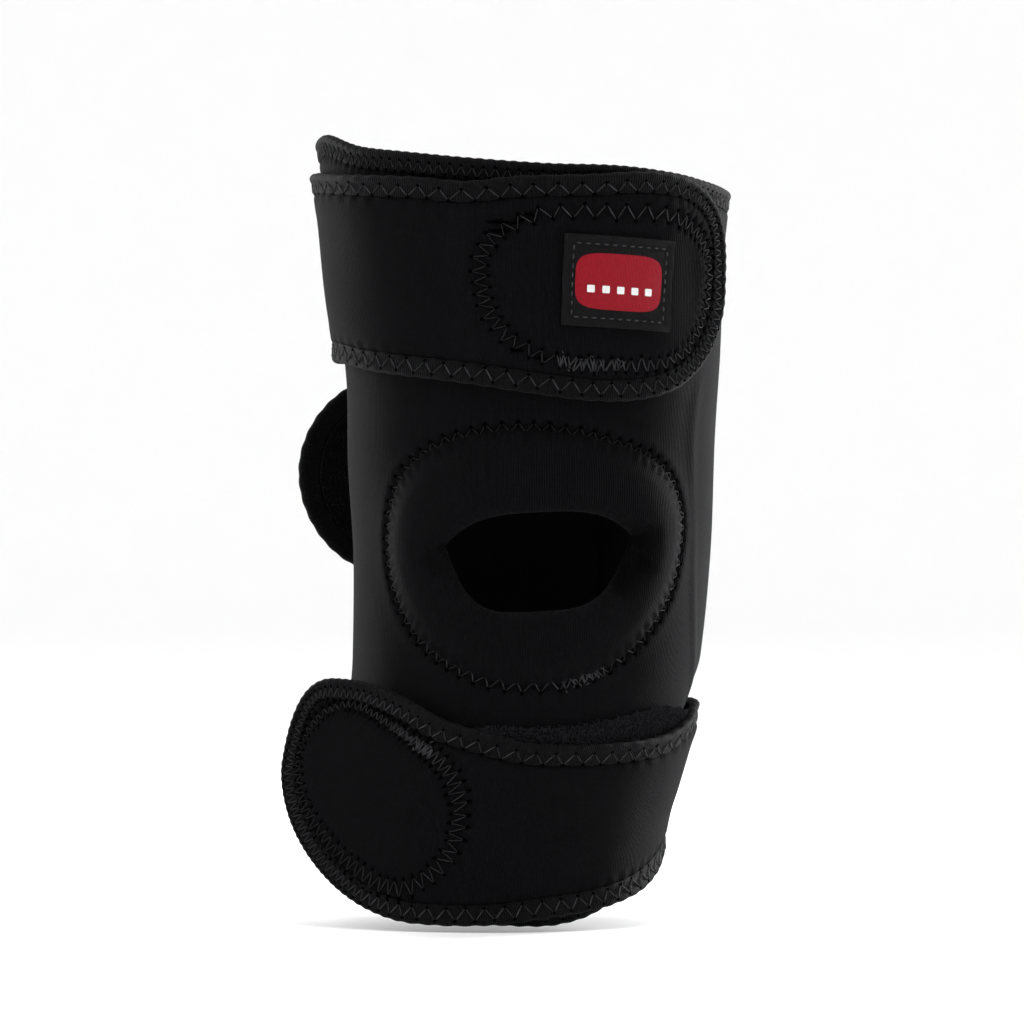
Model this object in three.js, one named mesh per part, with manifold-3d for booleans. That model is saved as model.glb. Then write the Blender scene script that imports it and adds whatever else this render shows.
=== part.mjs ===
// A wraparound knee sleeve of knit-faced foam cloth, with an open patella, two pull straps and a back tab.
// It keeps the form that it has when worn. Millimetres, +Z up the leg, +X to the viewer's right, front at -Y.
// The origin lies on the middle of the leg, level with the patella.
import * as THREE from "three";
import { mergeVertices } from "three/addons/utils/BufferGeometryUtils.js";
import Module from "manifold-3d";

const wasm = await Module();
wasm.setup();

// Driving sizes
const sleeveHeight = 269; // lowest point of the dressed sleeve to its highest
const kneeWidth = 115.8; // room for the knee, side to side
const kneeDepth = 116; // room for the knee, front to back
const cloth = 2.8; // foam cloth with a knit face on both sides
const bindingTape = 0.7; // folded tape on every free edge
const bindingWidth = 6.8;
const bindingPinch = 1.4; // what the tape squeezes the cloth down to
const hookCloth = 1.2;
const loopCloth = 1;
const labelCloth = 0.8;
const gap = 0.3; // air between pieces that lie on each other
const strapWidth = 64;
const tabWidth = 69.7;
const tabHookStart = 17; // from the tab's root to the edge of its hook face
const padSeamLength = 110.8; // round the front of the knee, on the cloth
const padSeamHeight = 85.6;
const padSwell = 3.6; // how far the pad's foam stands above the sleeve
const padRim = 2.4;
const eyeLength = 64;
const eyeHeight = 32.7;
const labelWidth = 37;
const labelHeight = 30;
const upperHookLength = 72.4;
const upperHookHeight = 50.6;
const lowerHookLength = 67.3;
const lowerHookHeight = 60.8;

// Places round the leg, in degrees from the front, towards +X
const sleeveInnerEnd = -203;
const sleeveOuterEnd = 200;
const flapStep = { from: 140, to: 154 };

// Places that follow from the sizes above
const wrapRadius = (kneeWidth + kneeDepth) / 4;
const bindingProud = bindingPinch / 2 + gap + bindingTape - cloth / 2;
const overSleeve = cloth + 2 * bindingProud + gap; // seat of what lies on the sleeve
// Seat of what lies on the loop strip
const overLoop = cloth + gap + Math.max(loopCloth, hookCloth) + bindingProud + gap;
const underStrap = bindingProud + gap; // room that a strap's binding leaves below its cloth
const overHook = cloth + gap + hookCloth + underStrap; // seat of what lies on a hook patch

// Sections of the leg form, as shares: height of sleeveHeight, width and lean of kneeWidth, front and back
// of kneeDepth
const legForm = [
  { height: -0.4833, width: 0.4758, lean: -0.1339, front: 0.444, back: 0.5345 },
  { height: -0.4275, width: 0.4637, lean: -0.1339, front: 0.4483, back: 0.5345 },
  { height: -0.3792, width: 0.4491, lean: -0.1278, front: 0.4534, back: 0.5284 },
  { height: -0.3346, width: 0.4473, lean: -0.1123, front: 0.4595, back: 0.519 },
  { height: -0.2862, width: 0.4542, lean: -0.0864, front: 0.4681, back: 0.5069 },
  { height: -0.2379, width: 0.4633, lean: -0.0617, front: 0.4784, back: 0.4957 },
  { height: -0.1784, width: 0.4788, lean: -0.0307, front: 0.4914, back: 0.4828 },
  { height: -0.1227, width: 0.4866, lean: -0.0134, front: 0.5043, back: 0.4741 },
  { height: 0, width: 0.5, lean: 0.0017, front: 0.5259, back: 0.4741 },
  { height: 0.1227, width: 0.513, lean: -0.0017, front: 0.5345, back: 0.4914 },
  { height: 0.2342, width: 0.5233, lean: 0.0017, front: 0.5474, back: 0.5172 },
  { height: 0.3494, width: 0.5449, lean: -0.0104, front: 0.569, back: 0.5517 },
  { height: 0.4498, width: 0.5682, lean: -0.013, front: 0.5948, back: 0.5776 },
  { height: 0.5204, width: 0.5924, lean: -0.0147, front: 0.6164, back: 0.5991 },
];

// Height of the sleeve's two bound edges round the leg, as shares of sleeveHeight
const sleeveEdges = [
  { turn: -203, top: 0.487, bottom: -0.37 },
  { turn: -150, top: 0.509, bottom: -0.37 },
  { turn: -110, top: 0.519, bottom: -0.365 },
  { turn: -88, top: 0.5225, bottom: -0.365 },
  { turn: -72, top: 0.5279, bottom: -0.372 },
  { turn: -53, top: 0.5091, bottom: -0.39 },
  { turn: -36, top: 0.4995, bottom: -0.423 },
  { turn: -16, top: 0.4895, bottom: -0.4465 },
  { turn: 5, top: 0.4825, bottom: -0.4521 },
  { turn: 26, top: 0.481, bottom: -0.4522 },
  { turn: 46, top: 0.4746, bottom: -0.4316 },
  { turn: 62, top: 0.467, bottom: -0.39 },
  { turn: 84, top: 0.4605, bottom: -0.362 },
  { turn: 120, top: 0.464, bottom: -0.36 },
  { turn: 160, top: 0.476, bottom: -0.365 },
  { turn: 200, top: 0.487, bottom: -0.37 },
];

// Each strap: sections along it, and its round end. middle is a share of sleeveHeight and width of
// strapWidth. It follows the leg up to leaves, then runs off it, keeping a share of the leg's bend. steps
// and rows set how finely its straight run and its width are faceted.
const upperStrap = {
  seat: overSleeve,
  root: -159.6,
  tip: 68.6,
  leaves: 46,
  keptBend: 0.1,
  steps: 22,
  rows: 4,
  hookStep: { from: -24, to: -14, rise: overHook - overSleeve },
  sections: [
    { turn: -160, middle: 0.3656, width: 0.949 },
    { turn: -100, middle: 0.3637, width: 0.996 },
    { turn: -76, middle: 0.3622, width: 0.999 },
    { turn: -55, middle: 0.3529, width: 1.021 },
    { turn: -30, middle: 0.3431, width: 1.038 },
    { turn: -16, middle: 0.3361, width: 1.044 },
    { turn: -3, middle: 0.3344, width: 1.102 },
    { turn: 16, middle: 0.3307, width: 1.158 },
    { turn: 34, middle: 0.3335, width: 1.184 },
    { turn: 70, middle: 0.3338, width: 1.194 },
  ],
  end: { centre: 0.5, topRound: 0.636, topPower: 3, bottomRound: 0.578, bottomPower: 2 },
};
const lowerStrap = {
  seat: overLoop,
  root: 137,
  tip: -85.3,
  leaves: -32,
  keptBend: 0.15,
  steps: 20,
  rows: 6,
  hookStep: { from: 0, to: 1, rise: 0 },
  sections: [
    { turn: -87, middle: -0.2993, width: 1.266 },
    { turn: -60, middle: -0.3011, width: 1.259 },
    { turn: -49, middle: -0.3048, width: 1.225 },
    { turn: -35, middle: -0.3139, width: 1.142 },
    { turn: -24, middle: -0.3234, width: 1.062 },
    { turn: -10, middle: -0.332, width: 1.006 },
    { turn: 5, middle: -0.3379, width: 0.941 },
    { turn: 21, middle: -0.3356, width: 0.896 },
    { turn: 38, middle: -0.3305, width: 0.871 },
    { turn: 58, middle: -0.3173, width: 0.835 },
    { turn: 74, middle: -0.2952, width: 0.841 },
    { turn: 90, middle: -0.2777, width: 0.806 },
    { turn: 137, middle: -0.277, width: 0.844 },
  ],
  end: { centre: 0.358, topRound: 0.225, topPower: 2.6, bottomRound: 0.79, bottomPower: 1.6 },
};
const backTab = {
  seat: overSleeve,
  root: -159.6,
  tip: -98.6,
  leaves: -160,
  keptBend: 0.06,
  steps: 3,
  rows: 4,
  hookStep: { from: 0, to: 1, rise: 0 },
  sections: [
    { turn: -160, middle: 0.1045, width: tabWidth / strapWidth },
    { turn: -98, middle: 0.1045, width: tabWidth / strapWidth },
  ],
  end: { centre: 0.5, topRound: 0.5, topPower: 2, bottomRound: 0.5, bottomPower: 2 },
};

// Seam outlines: reach is a share of the ellipse that the seam's length and height give, at each direction
const padSeam = {
  turn: 0.9,
  rise: 0.0012,
  rows: [
    { toward: 0, reach: 0.965 },
    { toward: 20, reach: 1.035 },
    { toward: 40, reach: 1.065 },
    { toward: 65, reach: 1 },
    { toward: 90, reach: 1 },
    { toward: 115, reach: 1.03 },
    { toward: 140, reach: 1.045 },
    { toward: 165, reach: 1 },
    { toward: 190, reach: 0.965 },
    { toward: 215, reach: 0.945 },
    { toward: 240, reach: 0.965 },
    { toward: 270, reach: 1 },
    { toward: 295, reach: 0.985 },
    { toward: 320, reach: 0.945 },
    { toward: 340, reach: 0.945 },
  ],
};
const upperHook = {
  turn: 23.25,
  rise: 0.3299,
  rows: [
    { toward: 0, reach: 1.014 },
    { toward: 30, reach: 1.103 },
    { toward: 60, reach: 1.086 },
    { toward: 90, reach: 0.985 },
    { toward: 120, reach: 1.102 },
    { toward: 150, reach: 1.11 },
    { toward: 180, reach: 1.001 },
    { toward: 210, reach: 1.034 },
    { toward: 240, reach: 1.055 },
    { toward: 270, reach: 1 },
    { toward: 300, reach: 1.065 },
    { toward: 330, reach: 1.014 },
  ],
};
const lowerHook = {
  turn: -44.47,
  rise: -0.2964,
  rows: [
    { toward: 0, reach: 0.949 },
    { toward: 30, reach: 0.804 },
    { toward: 60, reach: 0.729 },
    { toward: 90, reach: 0.834 },
    { toward: 120, reach: 1.16 },
    { toward: 150, reach: 1.157 },
    { toward: 180, reach: 0.879 },
    { toward: 210, reach: 0.689 },
    { toward: 240, reach: 0.671 },
    { toward: 270, reach: 0.808 },
    { toward: 300, reach: 1.115 },
    { toward: 330, reach: 1.113 },
  ],
};
const eye = {
  turn: 2.1,
  cornerRise: 0.36,
  cornerTilt: 0.1,
  topShare: 0.285,
  topPower: 3.2,
  bottomPower: 4,
};
const label = { turn: 25, rise: 0.337, tilt: -3 };
const loopStrip = {
  from: -13,
  to: 78,
  rows: [
    { turn: -13, top: -0.2105, bottom: -0.3 },
    { turn: 8, top: -0.209, bottom: -0.3 },
    { turn: 21, top: -0.2063, bottom: -0.3 },
    { turn: 36, top: -0.197, bottom: -0.3 },
    { turn: 52, top: -0.186, bottom: -0.29 },
    { turn: 62, top: -0.19, bottom: -0.285 },
    { turn: 78, top: -0.196, bottom: -0.275 },
  ],
};

// Colours
const knitBlack = new THREE.MeshStandardMaterial({ color: 0x16161a, roughness: 0.82, metalness: 0 });
const tapeBlack = new THREE.MeshStandardMaterial({ color: 0x1b1b20, roughness: 0.7, metalness: 0 });
const hookBlack = new THREE.MeshStandardMaterial({ color: 0x08080a, roughness: 0.6, metalness: 0 });
const loopBlack = new THREE.MeshStandardMaterial({ color: 0x0d0d10, roughness: 0.95, metalness: 0 });
const labelBlack = new THREE.MeshStandardMaterial({ color: 0x101013, roughness: 0.6, metalness: 0 });

// Slope of a column at a row, from the rows on both sides
function slopeAt(rows, key, column, index) {
  const before = rows[Math.max(index - 1, 0)];
  const after = rows[Math.min(index + 1, rows.length - 1)];
  return (after[column] - before[column]) / (after[key] - before[key]);
}

// Smooth value of a column between rows that rise by their key; it stays level past both ends
function smoothValue(rows, key, column, at) {
  let row = 0;
  while (row < rows.length - 2 && at > rows[row + 1][key]) {
    row += 1;
  }
  const low = rows[row];
  const high = rows[row + 1];
  const span = high[key] - low[key];
  const t = THREE.MathUtils.clamp((at - low[key]) / span, 0, 1);
  const lowSlope = slopeAt(rows, key, column, row) * span;
  const highSlope = slopeAt(rows, key, column, row + 1) * span;
  const fromLow = (2 * t ** 3 - 3 * t ** 2 + 1) * low[column] + (t ** 3 - 2 * t ** 2 + t) * lowSlope;
  const fromHigh = (3 * t ** 2 - 2 * t ** 3) * high[column] + (t ** 3 - t ** 2) * highSlope;
  return fromLow + fromHigh;
}

// The same for a closed outline, whose rows go once round by direction
function reachToward(rows, degrees) {
  const last = rows[rows.length - 1];
  const first = rows[0];
  const before = { toward: last.toward - 360, reach: last.reach };
  const beyond = { toward: first.toward + 360, reach: first.reach };
  const afterBeyond = { toward: rows[1].toward + 360, reach: rows[1].reach };
  return smoothValue([before, ...rows, beyond, afterBeyond], "toward", "reach", degrees);
}

// Place, direction of rising turn and outward direction on the leg form
function legFrame(turn, z) {
  const height = z / sleeveHeight;
  const halfWidth = smoothValue(legForm, "height", "width", height) * kneeWidth;
  const lean = smoothValue(legForm, "height", "lean", height) * kneeWidth;
  const angle = THREE.MathUtils.degToRad(turn);
  const side = Math.cos(angle) > 0 ? "front" : "back";
  const depth = smoothValue(legForm, "height", side, height) * kneeDepth;
  const place = new THREE.Vector3(lean + halfWidth * Math.sin(angle), -depth * Math.cos(angle), z);
  const ahead = new THREE.Vector3(halfWidth * Math.cos(angle), depth * Math.sin(angle), 0).normalize();
  const outward = new THREE.Vector3(ahead.y, -ahead.x, 0);
  return { place, ahead, outward };
}

// A point at a height above the leg form
function onLeg(turn, z, out) {
  const { place, outward } = legFrame(turn, z);
  return place.addScaledVector(outward, out);
}

// A point of a strap: on the leg up to where it leaves, then along its own shallower bend
function onStrap(strap, turn, z, out) {
  const side = Math.sign(strap.tip - strap.root);
  const past = (turn - strap.leaves) * side;
  if (past <= 0) {
    return onLeg(turn, z, out);
  }
  const { place, ahead, outward } = legFrame(strap.leaves, z);
  const bendRadius = wrapRadius / strap.keptBend;
  const bend = (turnToLength(past) / bendRadius);
  const forward = ahead.clone().multiplyScalar(side);
  const normal = outward.clone().multiplyScalar(Math.cos(bend)).addScaledVector(forward, Math.sin(bend));
  return place
    .addScaledVector(forward, bendRadius * Math.sin(bend))
    .addScaledVector(outward, -bendRadius * (1 - Math.cos(bend)))
    .addScaledVector(normal, out);
}

// Degrees round the leg to millimetres of cloth, and back
function turnToLength(turn) {
  return THREE.MathUtils.degToRad(turn) * wrapRadius;
}
function lengthToTurn(length) {
  return THREE.MathUtils.radToDeg(length / wrapRadius);
}

// Seat of the sleeve's inner face: its outer flap steps over the inner one at the back
function sleeveSeat(turn) {
  return overSleeve * THREE.MathUtils.smoothstep(turn, flapStep.from, flapStep.to);
}
function strapSeat(strap, turn) {
  const { from, to, rise } = strap.hookStep;
  return strap.seat + rise * THREE.MathUtils.smoothstep(turn, from, to);
}

// A closed body from points and faces of three or four corners, turned so that its faces point out
function closedBody(points, faces, material, name) {
  const index = [];
  for (const face of faces) {
    for (let corner = 1; corner < face.length - 1; corner += 1) {
      index.push(face[0], face[corner], face[corner + 1]);
    }
  }
  let volume = 0;
  for (let i = 0; i < index.length; i += 3) {
    const [a, b, c] = [points[index[i]], points[index[i + 1]], points[index[i + 2]]];
    volume += a.dot(b.clone().cross(c));
  }
  if (volume < 0) {
    index.reverse();
  }
  const geometry = new THREE.BufferGeometry().setFromPoints(points);
  geometry.setIndex(index);
  const mesh = new THREE.Mesh(geometry, material);
  mesh.name = name;
  return mesh;
}

// A body between two matching skins. skinFaces index one skin, and rims are the loops that bound it.
function bodyBetweenSkins(outer, inner, skinFaces, rims, material, name) {
  const shift = outer.length;
  const faces = [...skinFaces];
  for (const face of skinFaces) {
    faces.push(face.map((corner) => corner + shift).reverse());
  }
  for (const rim of rims) {
    rim.forEach((corner, i) => {
      const next = rim[(i + 1) % rim.length];
      faces.push([next, corner, corner + shift, next + shift]);
    });
  }
  return closedBody([...outer, ...inner], faces, material, name);
}

// Inward direction at each point of a path on the flat cloth; the cloth lies to its right.
// Both ends are cut straight up the leg.
function inwardDirections(path) {
  return path.map((point, i) => {
    const before = path[Math.max(i - 1, 0)];
    const after = path[Math.min(i + 1, path.length - 1)];
    const run = after.clone().sub(before);
    if (i === 0 || i === path.length - 1) {
      run.y = 0;
    }
    run.normalize();
    return new THREE.Vector2(run.y, -run.x);
  });
}
function insetPath(path, inward, distance) {
  return path.map((point, i) => point.clone().addScaledVector(inward[i], distance));
}

// Bands of cloth along a bound edge: distance in from the tape's fold, and half the cloth's thickness there
const edgeBands = [
  { inset: bindingTape + gap, half: bindingPinch / 2 },
  { inset: bindingWidth, half: bindingPinch / 2 },
  { inset: bindingWidth + cloth / 2, half: cloth / 2 },
];

// Section of the folded tape: distance in from the fold, and height from the middle of the cloth
const tapeOuter = bindingPinch / 2 + gap + bindingTape;
const tapeInner = bindingPinch / 2 + gap;
const foldRound = 0.35; // how far in the fold's round goes, as a share of its height
const tapeSection = [
  { inset: bindingWidth, height: tapeOuter },
  { inset: tapeOuter * foldRound, height: tapeOuter },
  { inset: 0, height: 0 },
  { inset: tapeOuter * foldRound, height: -tapeOuter },
  { inset: bindingWidth, height: -tapeOuter },
  { inset: bindingWidth, height: -tapeInner },
  { inset: bindingTape, height: -tapeInner },
  { inset: bindingTape, height: tapeInner },
  { inset: bindingWidth, height: tapeInner },
];

// Folded tape along a path on the flat cloth. place gives the point from its length and z on the cloth and
// its height above the cloth's middle.
function foldedTape(path, place, name) {
  const inward = inwardDirections(path);
  const points = [];
  path.forEach((point, i) => {
    for (const { inset, height } of tapeSection) {
      const flat = point.clone().addScaledVector(inward[i], inset);
      points.push(place(flat.x, flat.y, height));
    }
  });
  const corners = tapeSection.length;
  const faces = [];
  for (let i = 0; i < path.length - 1; i += 1) {
    for (let j = 0; j < corners; j += 1) {
      const next = (j + 1) % corners;
      faces.push([i * corners + j, i * corners + next, (i + 1) * corners + next, (i + 1) * corners + j]);
    }
  }
  const lastRing = (path.length - 1) * corners;
  for (const cap of [[0, 1, 7, 8], [1, 2, 7], [2, 6, 7], [2, 3, 6], [3, 4, 5, 6]]) {
    faces.push([...cap].reverse());
    faces.push(cap.map((corner) => corner + lastRing));
  }
  return closedBody(points, faces, tapeBlack, name);
}

// Outline of a strap on the flat cloth: its top edge, its round end and its bottom edge
const endCorner = 60; // where the long edges hand over to the round end, in degrees of the quarter
const cornerSteps = 6;
function strapOutline(strap) {
  const { sections, end, root, tip, steps, rows } = strap;
  const side = Math.sign(tip - root);
  const edgeHeight = (turn, share) => {
    const middle = smoothValue(sections, "turn", "middle", turn) * sleeveHeight;
    const width = smoothValue(sections, "turn", "width", turn) * strapWidth;
    return middle + width * share;
  };
  const widthAtTip = smoothValue(sections, "turn", "width", tip) * strapWidth;
  const centreShare = 0.5 - end.centre;
  // A quarter of the round end: angle 0 lies on the long edge and 90 at the tip
  const quarter = (share, round, power, angle) => {
    const along = Math.sin(THREE.MathUtils.degToRad(angle));
    const across = Math.max(0, 1 - along ** power) ** (1 / power);
    const forward = widthAtTip * round * (along - 1);
    const turn = tip + side * lengthToTurn(forward);
    const centre = edgeHeight(turn, centreShare);
    return new THREE.Vector2(turnToLength(turn), centre + (edgeHeight(turn, share) - centre) * across);
  };
  const edge = (share, round, power) => {
    const points = [];
    const straightEnd = tip - side * lengthToTurn(widthAtTip * round);
    for (let i = 0; i < steps; i += 1) {
      const turn = THREE.MathUtils.lerp(root, straightEnd, i / steps);
      points.push(new THREE.Vector2(turnToLength(turn), edgeHeight(turn, share)));
    }
    for (let i = 0; i <= cornerSteps; i += 1) {
      points.push(quarter(share, round, power, (endCorner * i) / cornerSteps));
    }
    return points;
  };
  const round = [];
  for (let i = 1; i < rows; i += 1) {
    const angle = endCorner + (180 - 2 * endCorner) * (i / rows);
    if (angle <= 90) {
      round.push(quarter(0.5, end.topRound, end.topPower, angle));
    } else {
      round.push(quarter(-0.5, end.bottomRound, end.bottomPower, 180 - angle));
    }
  }
  return {
    top: edge(0.5, end.topRound, end.topPower),
    round,
    bottom: edge(-0.5, end.bottomRound, end.bottomPower),
  };
}

// Path right round a strap, with the cloth to its right
function strapPath(strap) {
  const { top, round, bottom } = strapOutline(strap);
  const path = [...top, ...round, ...bottom.reverse()];
  return strap.tip > strap.root ? path : path.reverse();
}

// The strap's cloth: bands along its bound edge, and a grid of cross rows inside them
function strapCloth(strap, material, name) {
  const { rows } = strap;
  const path = strapPath(strap);
  const inward = inwardDirections(path);
  const flat = [];
  for (const { inset, half } of edgeBands) {
    insetPath(path, inward, inset).forEach((point) => flat.push({ point, half }));
  }
  const ring = path.length;
  const columns = (ring - (rows - 1)) / 2;
  const innerRing = (edgeBands.length - 1) * ring;
  const faces = [];
  for (let band = 0; band < edgeBands.length - 1; band += 1) {
    for (let i = 0; i < ring - 1; i += 1) {
      const a = band * ring + i;
      faces.push([a, a + 1, a + 1 + ring, a + ring]);
    }
  }
  // Cross row i joins the inner band's point i on one edge to its partner on the other
  const cross = [];
  for (let i = 0; i < columns; i += 1) {
    const near = innerRing + i;
    const far = innerRing + ring - 1 - i;
    const row = [near];
    for (let j = 1; j < rows; j += 1) {
      if (i === columns - 1) {
        row.push(innerRing + i + j);
      } else {
        const point = flat[near].point.clone().lerp(flat[far].point, j / rows);
        row.push(flat.push({ point, half: cloth / 2 }) - 1);
      }
    }
    row.push(far);
    cross.push(row);
  }
  for (let i = 0; i < columns - 1; i += 1) {
    for (let j = 0; j < rows; j += 1) {
      faces.push([cross[i][j], cross[i + 1][j], cross[i + 1][j + 1], cross[i][j + 1]]);
    }
  }
  const rootSide = [0];
  for (let band = 1; band < edgeBands.length - 1; band += 1) {
    rootSide.push(band * ring);
  }
  const farSide = rootSide.map((corner) => corner + ring - 1).reverse();
  const outline = Array.from({ length: ring }, (_, i) => i);
  const rootCross = [...cross[0]].reverse();
  const rim = [...outline, ...farSide.slice(0, -1), ...rootCross, ...rootSide.slice(1).reverse()];
  const skin = (side) =>
    flat.map(({ point, half }) => {
      const turn = lengthToTurn(point.x);
      return onStrap(strap, turn, point.y, strapSeat(strap, turn) + cloth / 2 + side * half);
    });
  return bodyBetweenSkins(skin(1), skin(-1), faces, [rim], material, name);
}
function strapBinding(strap, name) {
  const place = (length, z, height) => {
    const turn = lengthToTurn(length);
    return onStrap(strap, turn, z, strapSeat(strap, turn) + cloth / 2 + height);
  };
  return foldedTape(strapPath(strap), place, name);
}

// The sleeve's own cloth, from its inner flap round the front to its outer flap
const sleeveSteps = 44;
const sleeveRows = 9;
function sleeveEdge(column) {
  const path = [];
  for (let i = 0; i <= sleeveSteps; i += 1) {
    const turn = THREE.MathUtils.lerp(sleeveInnerEnd, sleeveOuterEnd, i / sleeveSteps);
    const rise = smoothValue(sleeveEdges, "turn", column, turn);
    path.push(new THREE.Vector2(turnToLength(turn), rise * sleeveHeight));
  }
  return path;
}
function onSleeve(length, z, height) {
  const turn = lengthToTurn(length);
  return onLeg(turn, z, sleeveSeat(turn) + cloth / 2 + height);
}
function sleeveSheet() {
  const top = sleeveEdge("top");
  const bottom = sleeveEdge("bottom");
  const topInward = inwardDirections(top);
  const bottomInward = inwardDirections(bottom).map((direction) => direction.negate());
  const bandsAlong = (path, inward) =>
    edgeBands.map(({ inset, half }) => ({ path: insetPath(path, inward, inset), half }));
  const rows = bandsAlong(top, topInward);
  const lowerRows = bandsAlong(bottom, bottomInward);
  const highest = rows[rows.length - 1].path;
  const lowest = lowerRows[lowerRows.length - 1].path;
  for (let j = 1; j < sleeveRows; j += 1) {
    const path = highest.map((point, i) => point.clone().lerp(lowest[i], j / sleeveRows));
    rows.push({ path, half: cloth / 2 });
  }
  rows.push(...lowerRows.reverse());
  const columns = sleeveSteps + 1;
  const faces = [];
  for (let j = 0; j < rows.length - 1; j += 1) {
    for (let i = 0; i < sleeveSteps; i += 1) {
      const a = j * columns + i;
      faces.push([a, a + 1, a + 1 + columns, a + columns]);
    }
  }
  const rim = [];
  for (let i = 0; i < sleeveSteps; i += 1) {
    rim.push(i);
  }
  for (let j = 0; j < rows.length - 1; j += 1) {
    rim.push(j * columns + sleeveSteps);
  }
  for (let i = sleeveSteps; i > 0; i -= 1) {
    rim.push((rows.length - 1) * columns + i);
  }
  for (let j = rows.length - 1; j > 0; j -= 1) {
    rim.push(j * columns);
  }
  const skin = (side) =>
    rows.flatMap(({ path, half }) => path.map((point) => onSleeve(point.x, point.y, side * half)));
  return bodyBetweenSkins(skin(1), skin(-1), faces, [rim], knitBlack, "sleeve_body");
}

// Joining and cutting
function toSolid(geometry) {
  const bare = geometry.clone();
  bare.deleteAttribute("normal");
  bare.deleteAttribute("uv");
  const merged = mergeVertices(bare, 1e-4);
  return new wasm.Manifold(
    new wasm.Mesh({
      numProp: 3,
      vertProperties: new Float32Array(merged.attributes.position.array),
      triVerts: new Uint32Array(merged.index.array),
    }),
  );
}
function toGeometry(solid) {
  const mesh = solid.getMesh();
  const geometry = new THREE.BufferGeometry();
  geometry.setAttribute("position", new THREE.BufferAttribute(mesh.vertProperties, 3));
  geometry.setIndex(new THREE.BufferAttribute(mesh.triVerts, 1));
  return geometry;
}

// The pad's seam and the eye-shaped opening, both on the flat cloth
const padSteps = 40;
function seamPoint(seam, length, height, degrees) {
  const angle = THREE.MathUtils.degToRad(degrees);
  const reach = reachToward(seam.rows, degrees);
  return new THREE.Vector2(
    turnToLength(seam.turn) + (Math.cos(angle) * reach * length) / 2,
    seam.rise * sleeveHeight + (Math.sin(angle) * reach * height) / 2,
  );
}
function eyePoint(degrees) {
  const angle = THREE.MathUtils.degToRad(degrees);
  const across = Math.cos(angle);
  const corners = (eye.cornerRise + eye.cornerTilt * across) * (eyeHeight / 2);
  const above = Math.sin(angle) >= 0;
  const power = above ? eye.topPower : eye.bottomPower;
  const height = above ? eye.topShare : eye.topShare - 1;
  const lift = eyeHeight * height * (1 - Math.abs(across) ** power);
  return new THREE.Vector2(turnToLength(eye.turn) + (across * eyeLength) / 2, corners + lift);
}

// Where a front-to-back line through a point meets the leg form
function behindOnLeg(point) {
  const height = point.z / sleeveHeight;
  const halfWidth = smoothValue(legForm, "height", "width", height) * kneeWidth;
  const lean = smoothValue(legForm, "height", "lean", height) * kneeWidth;
  const depth = smoothValue(legForm, "height", "front", height) * kneeDepth;
  const across = (point.x - lean) / halfWidth;
  return new THREE.Vector3(point.x, -depth * Math.sqrt(1 - across ** 2), point.z);
}

function padSeamFront() {
  const ring = [];
  for (let i = 0; i < padSteps; i += 1) {
    const flat = seamPoint(padSeam, padSeamLength, padSeamHeight, (360 * i) / padSteps);
    ring.push(onLeg(lengthToTurn(flat.x), flat.y, cloth));
  }
  return ring;
}

function sleeveBody() {
  const sheet = sleeveSheet();
  const outline = new THREE.Shape(padSeamFront().map((point) => new THREE.Vector2(point.x, point.z)));
  const cutter = new THREE.ExtrudeGeometry(outline, { depth: kneeDepth, bevelEnabled: false });
  cutter.rotateX(Math.PI / 2);
  sheet.geometry = toGeometry(toSolid(sheet.geometry).subtract(toSolid(cutter)));
  return sheet;
}

// The puffed pad round the opening. swell is a share of padSwell above the sleeve's face, and lift a share
// of padRim off the leg.
const padProfile = [
  { inward: 0, swell: 0, lift: 0 },
  { inward: 0.1, swell: 0.25, lift: 0 },
  { inward: 0.34, swell: 0.8, lift: 0 },
  { inward: 0.6, swell: 1, lift: 0 },
  { inward: 0.84, swell: 0.7, lift: 0 },
  { inward: 0.96, swell: 0.1, lift: 0.05 },
  { inward: 1, swell: -0.35, lift: 0.25 },
];
function patellaPad() {
  const seam = padSeamFront();
  const flatSeam = seam.map((point) => new THREE.Vector2(point.x, point.z));
  const seamInward = flatSeam.map((point, i) => {
    const before = flatSeam[(i + padSteps - 1) % padSteps];
    const after = flatSeam[(i + 1) % padSteps];
    const run = after.clone().sub(before).normalize();
    return new THREE.Vector2(-run.y, run.x);
  });
  const outer = [];
  const inner = [];
  padProfile.forEach(({ inward, swell, lift }, ringNumber) => {
    for (let i = 0; i < padSteps; i += 1) {
      const degrees = (360 * i) / padSteps;
      if (ringNumber === 0) {
        const front = seam[i].clone();
        front.x += seamInward[i].x * gap;
        front.z += seamInward[i].y * gap;
        outer.push(front);
        inner.push(behindOnLeg(front));
      } else {
        const flat = seamPoint(padSeam, padSeamLength, padSeamHeight, degrees);
        flat.lerp(eyePoint(degrees), inward);
        const turn = lengthToTurn(flat.x);
        outer.push(onLeg(turn, flat.y, cloth + padSwell * swell));
        inner.push(onLeg(turn, flat.y, padRim * lift));
      }
    }
  });
  const faces = [];
  for (let ring = 0; ring < padProfile.length - 1; ring += 1) {
    for (let i = 0; i < padSteps; i += 1) {
      const a = ring * padSteps + i;
      const b = ring * padSteps + ((i + 1) % padSteps);
      faces.push([a, b, b + padSteps, a + padSteps]);
    }
  }
  const outside = Array.from({ length: padSteps }, (_, i) => i);
  const inside = outside.map((i) => (padProfile.length - 1) * padSteps + i).reverse();
  return bodyBetweenSkins(outer, inner, faces, [outside, inside], knitBlack, "patella_pad");
}

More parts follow.
